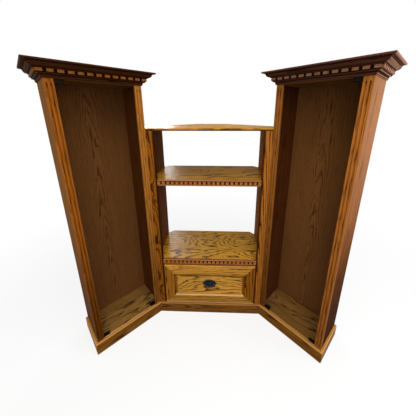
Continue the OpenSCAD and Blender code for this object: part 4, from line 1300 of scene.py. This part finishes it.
def post_rings(x):
    """A turned post: circles of (radius, distance out), from the plate to its rounded end."""
    a = np.radians(np.arange(0, 360, ROUND_STEP))
    radius, out = POST_STEPS[:, :1], POST_STEPS[:, 1:]
    return grid(x + radius * np.cos(a), PANEL_FRONT - out, PULL_Z + radius * np.sin(a))


plate = plate_rings()
posts = [post_rings(x) for x in (-POST_X, POST_X)]
pull = solid("pull_backplate", [plate, *posts], "drawer", dark_bronze,
             ["pull_plate"], sharp=50)
share, height = PLATE_STEPS.T
raised = np.clip((height - PALE_FROM) / PALE_OVER, 0, 1)
raised = raised * np.where(share > 0.5, RIM_PALE, BOSS_PALE)
rows, round_it = posts[0].shape[:2]
mark(pull, "rubbed_and_lit", np.concatenate([
    np.repeat(raised, plate.shape[1]),
    np.tile(np.repeat(np.linspace(0, POST_RUB, rows), round_it), 2)]))
print("backplate:", plate.shape[:2], "posts:", (rows, round_it))

# %% [markdown]
# ## The bail
#
# The bail is one round bar, bent twice at each side: a tight elbow beside its pivot and a
# wide bend down to the grip, which swells in the middle where the fingers hold it. It is a
# circle carried along that path, and the path's own direction turns the circle with it. It
# is a body of its own, because it swings about the line through both posts.

# %% Bend the bail
PLATE_T, PIVOT_OUT = 3 * MM, 12 * MM
BAIL_Y = PANEL_FRONT - PLATE_T - PIVOT_OUT
ARM_X, DROP, BEND, ELBOW = 46 * MM, 31 * MM, 26 * MM, 3 * MM
BAIL_R, GRIP_R, GRIP_REACH = 2.5 * MM, 3.6 * MM, 16 * MM
# The grip's brighter tone is wear and a painted highlight.
BAIL_RUB, GRIP_PALE = 0.05, 0.3


def bail_path():
    """From one pivot out, down, round a bend, along the grip, and back up: (x, z).

    Half of it is laid out from arcs and straight parts, and the other half mirrors it in x.
    """
    half_way = np.concatenate([
        [(POST_X - 6 * MM, 0), (ARM_X - 3.5 * MM, 0)],
        arc((ARM_X - ELBOW, -ELBOW), (ELBOW, ELBOW), 90, 0, 5),
        arc((ARM_X - BEND, -DROP + BEND), (BEND, BEND), 0, -90, 16),
        np.stack([np.linspace(ARM_X - BEND - 4 * MM, 0, 9), np.full(9, -DROP)], -1)])
    return np.concatenate([half_way, half_way[-2::-1] * (-1, 1)])


path = bail_path()
way = np.gradient(path, axis=0)
way /= np.linalg.norm(way, axis=1, keepdims=True)
swell = np.exp(-(path[:, 0] / GRIP_REACH) ** 2) * (path[:, 1] < -DROP + MM)
radius = (BAIL_R + (GRIP_R - BAIL_R) * swell)[:, None]
a = np.radians(np.arange(0, 360, 20))
rings = grid(path[:, :1] - way[:, 1:] * radius * np.cos(a), BAIL_Y + radius * np.sin(a),
             PULL_Z + path[:, 1:] + way[:, :1] * radius * np.cos(a))
bail = solid("pull_bail_bar", [rings], "bail", dark_bronze, ["pull_bail"],
             sharp=50)
mark(bail, "rubbed_and_lit", np.repeat(BAIL_RUB + GRIP_PALE * swell, len(a)))
print("bail:", len(path), "rings of", len(a), "points")
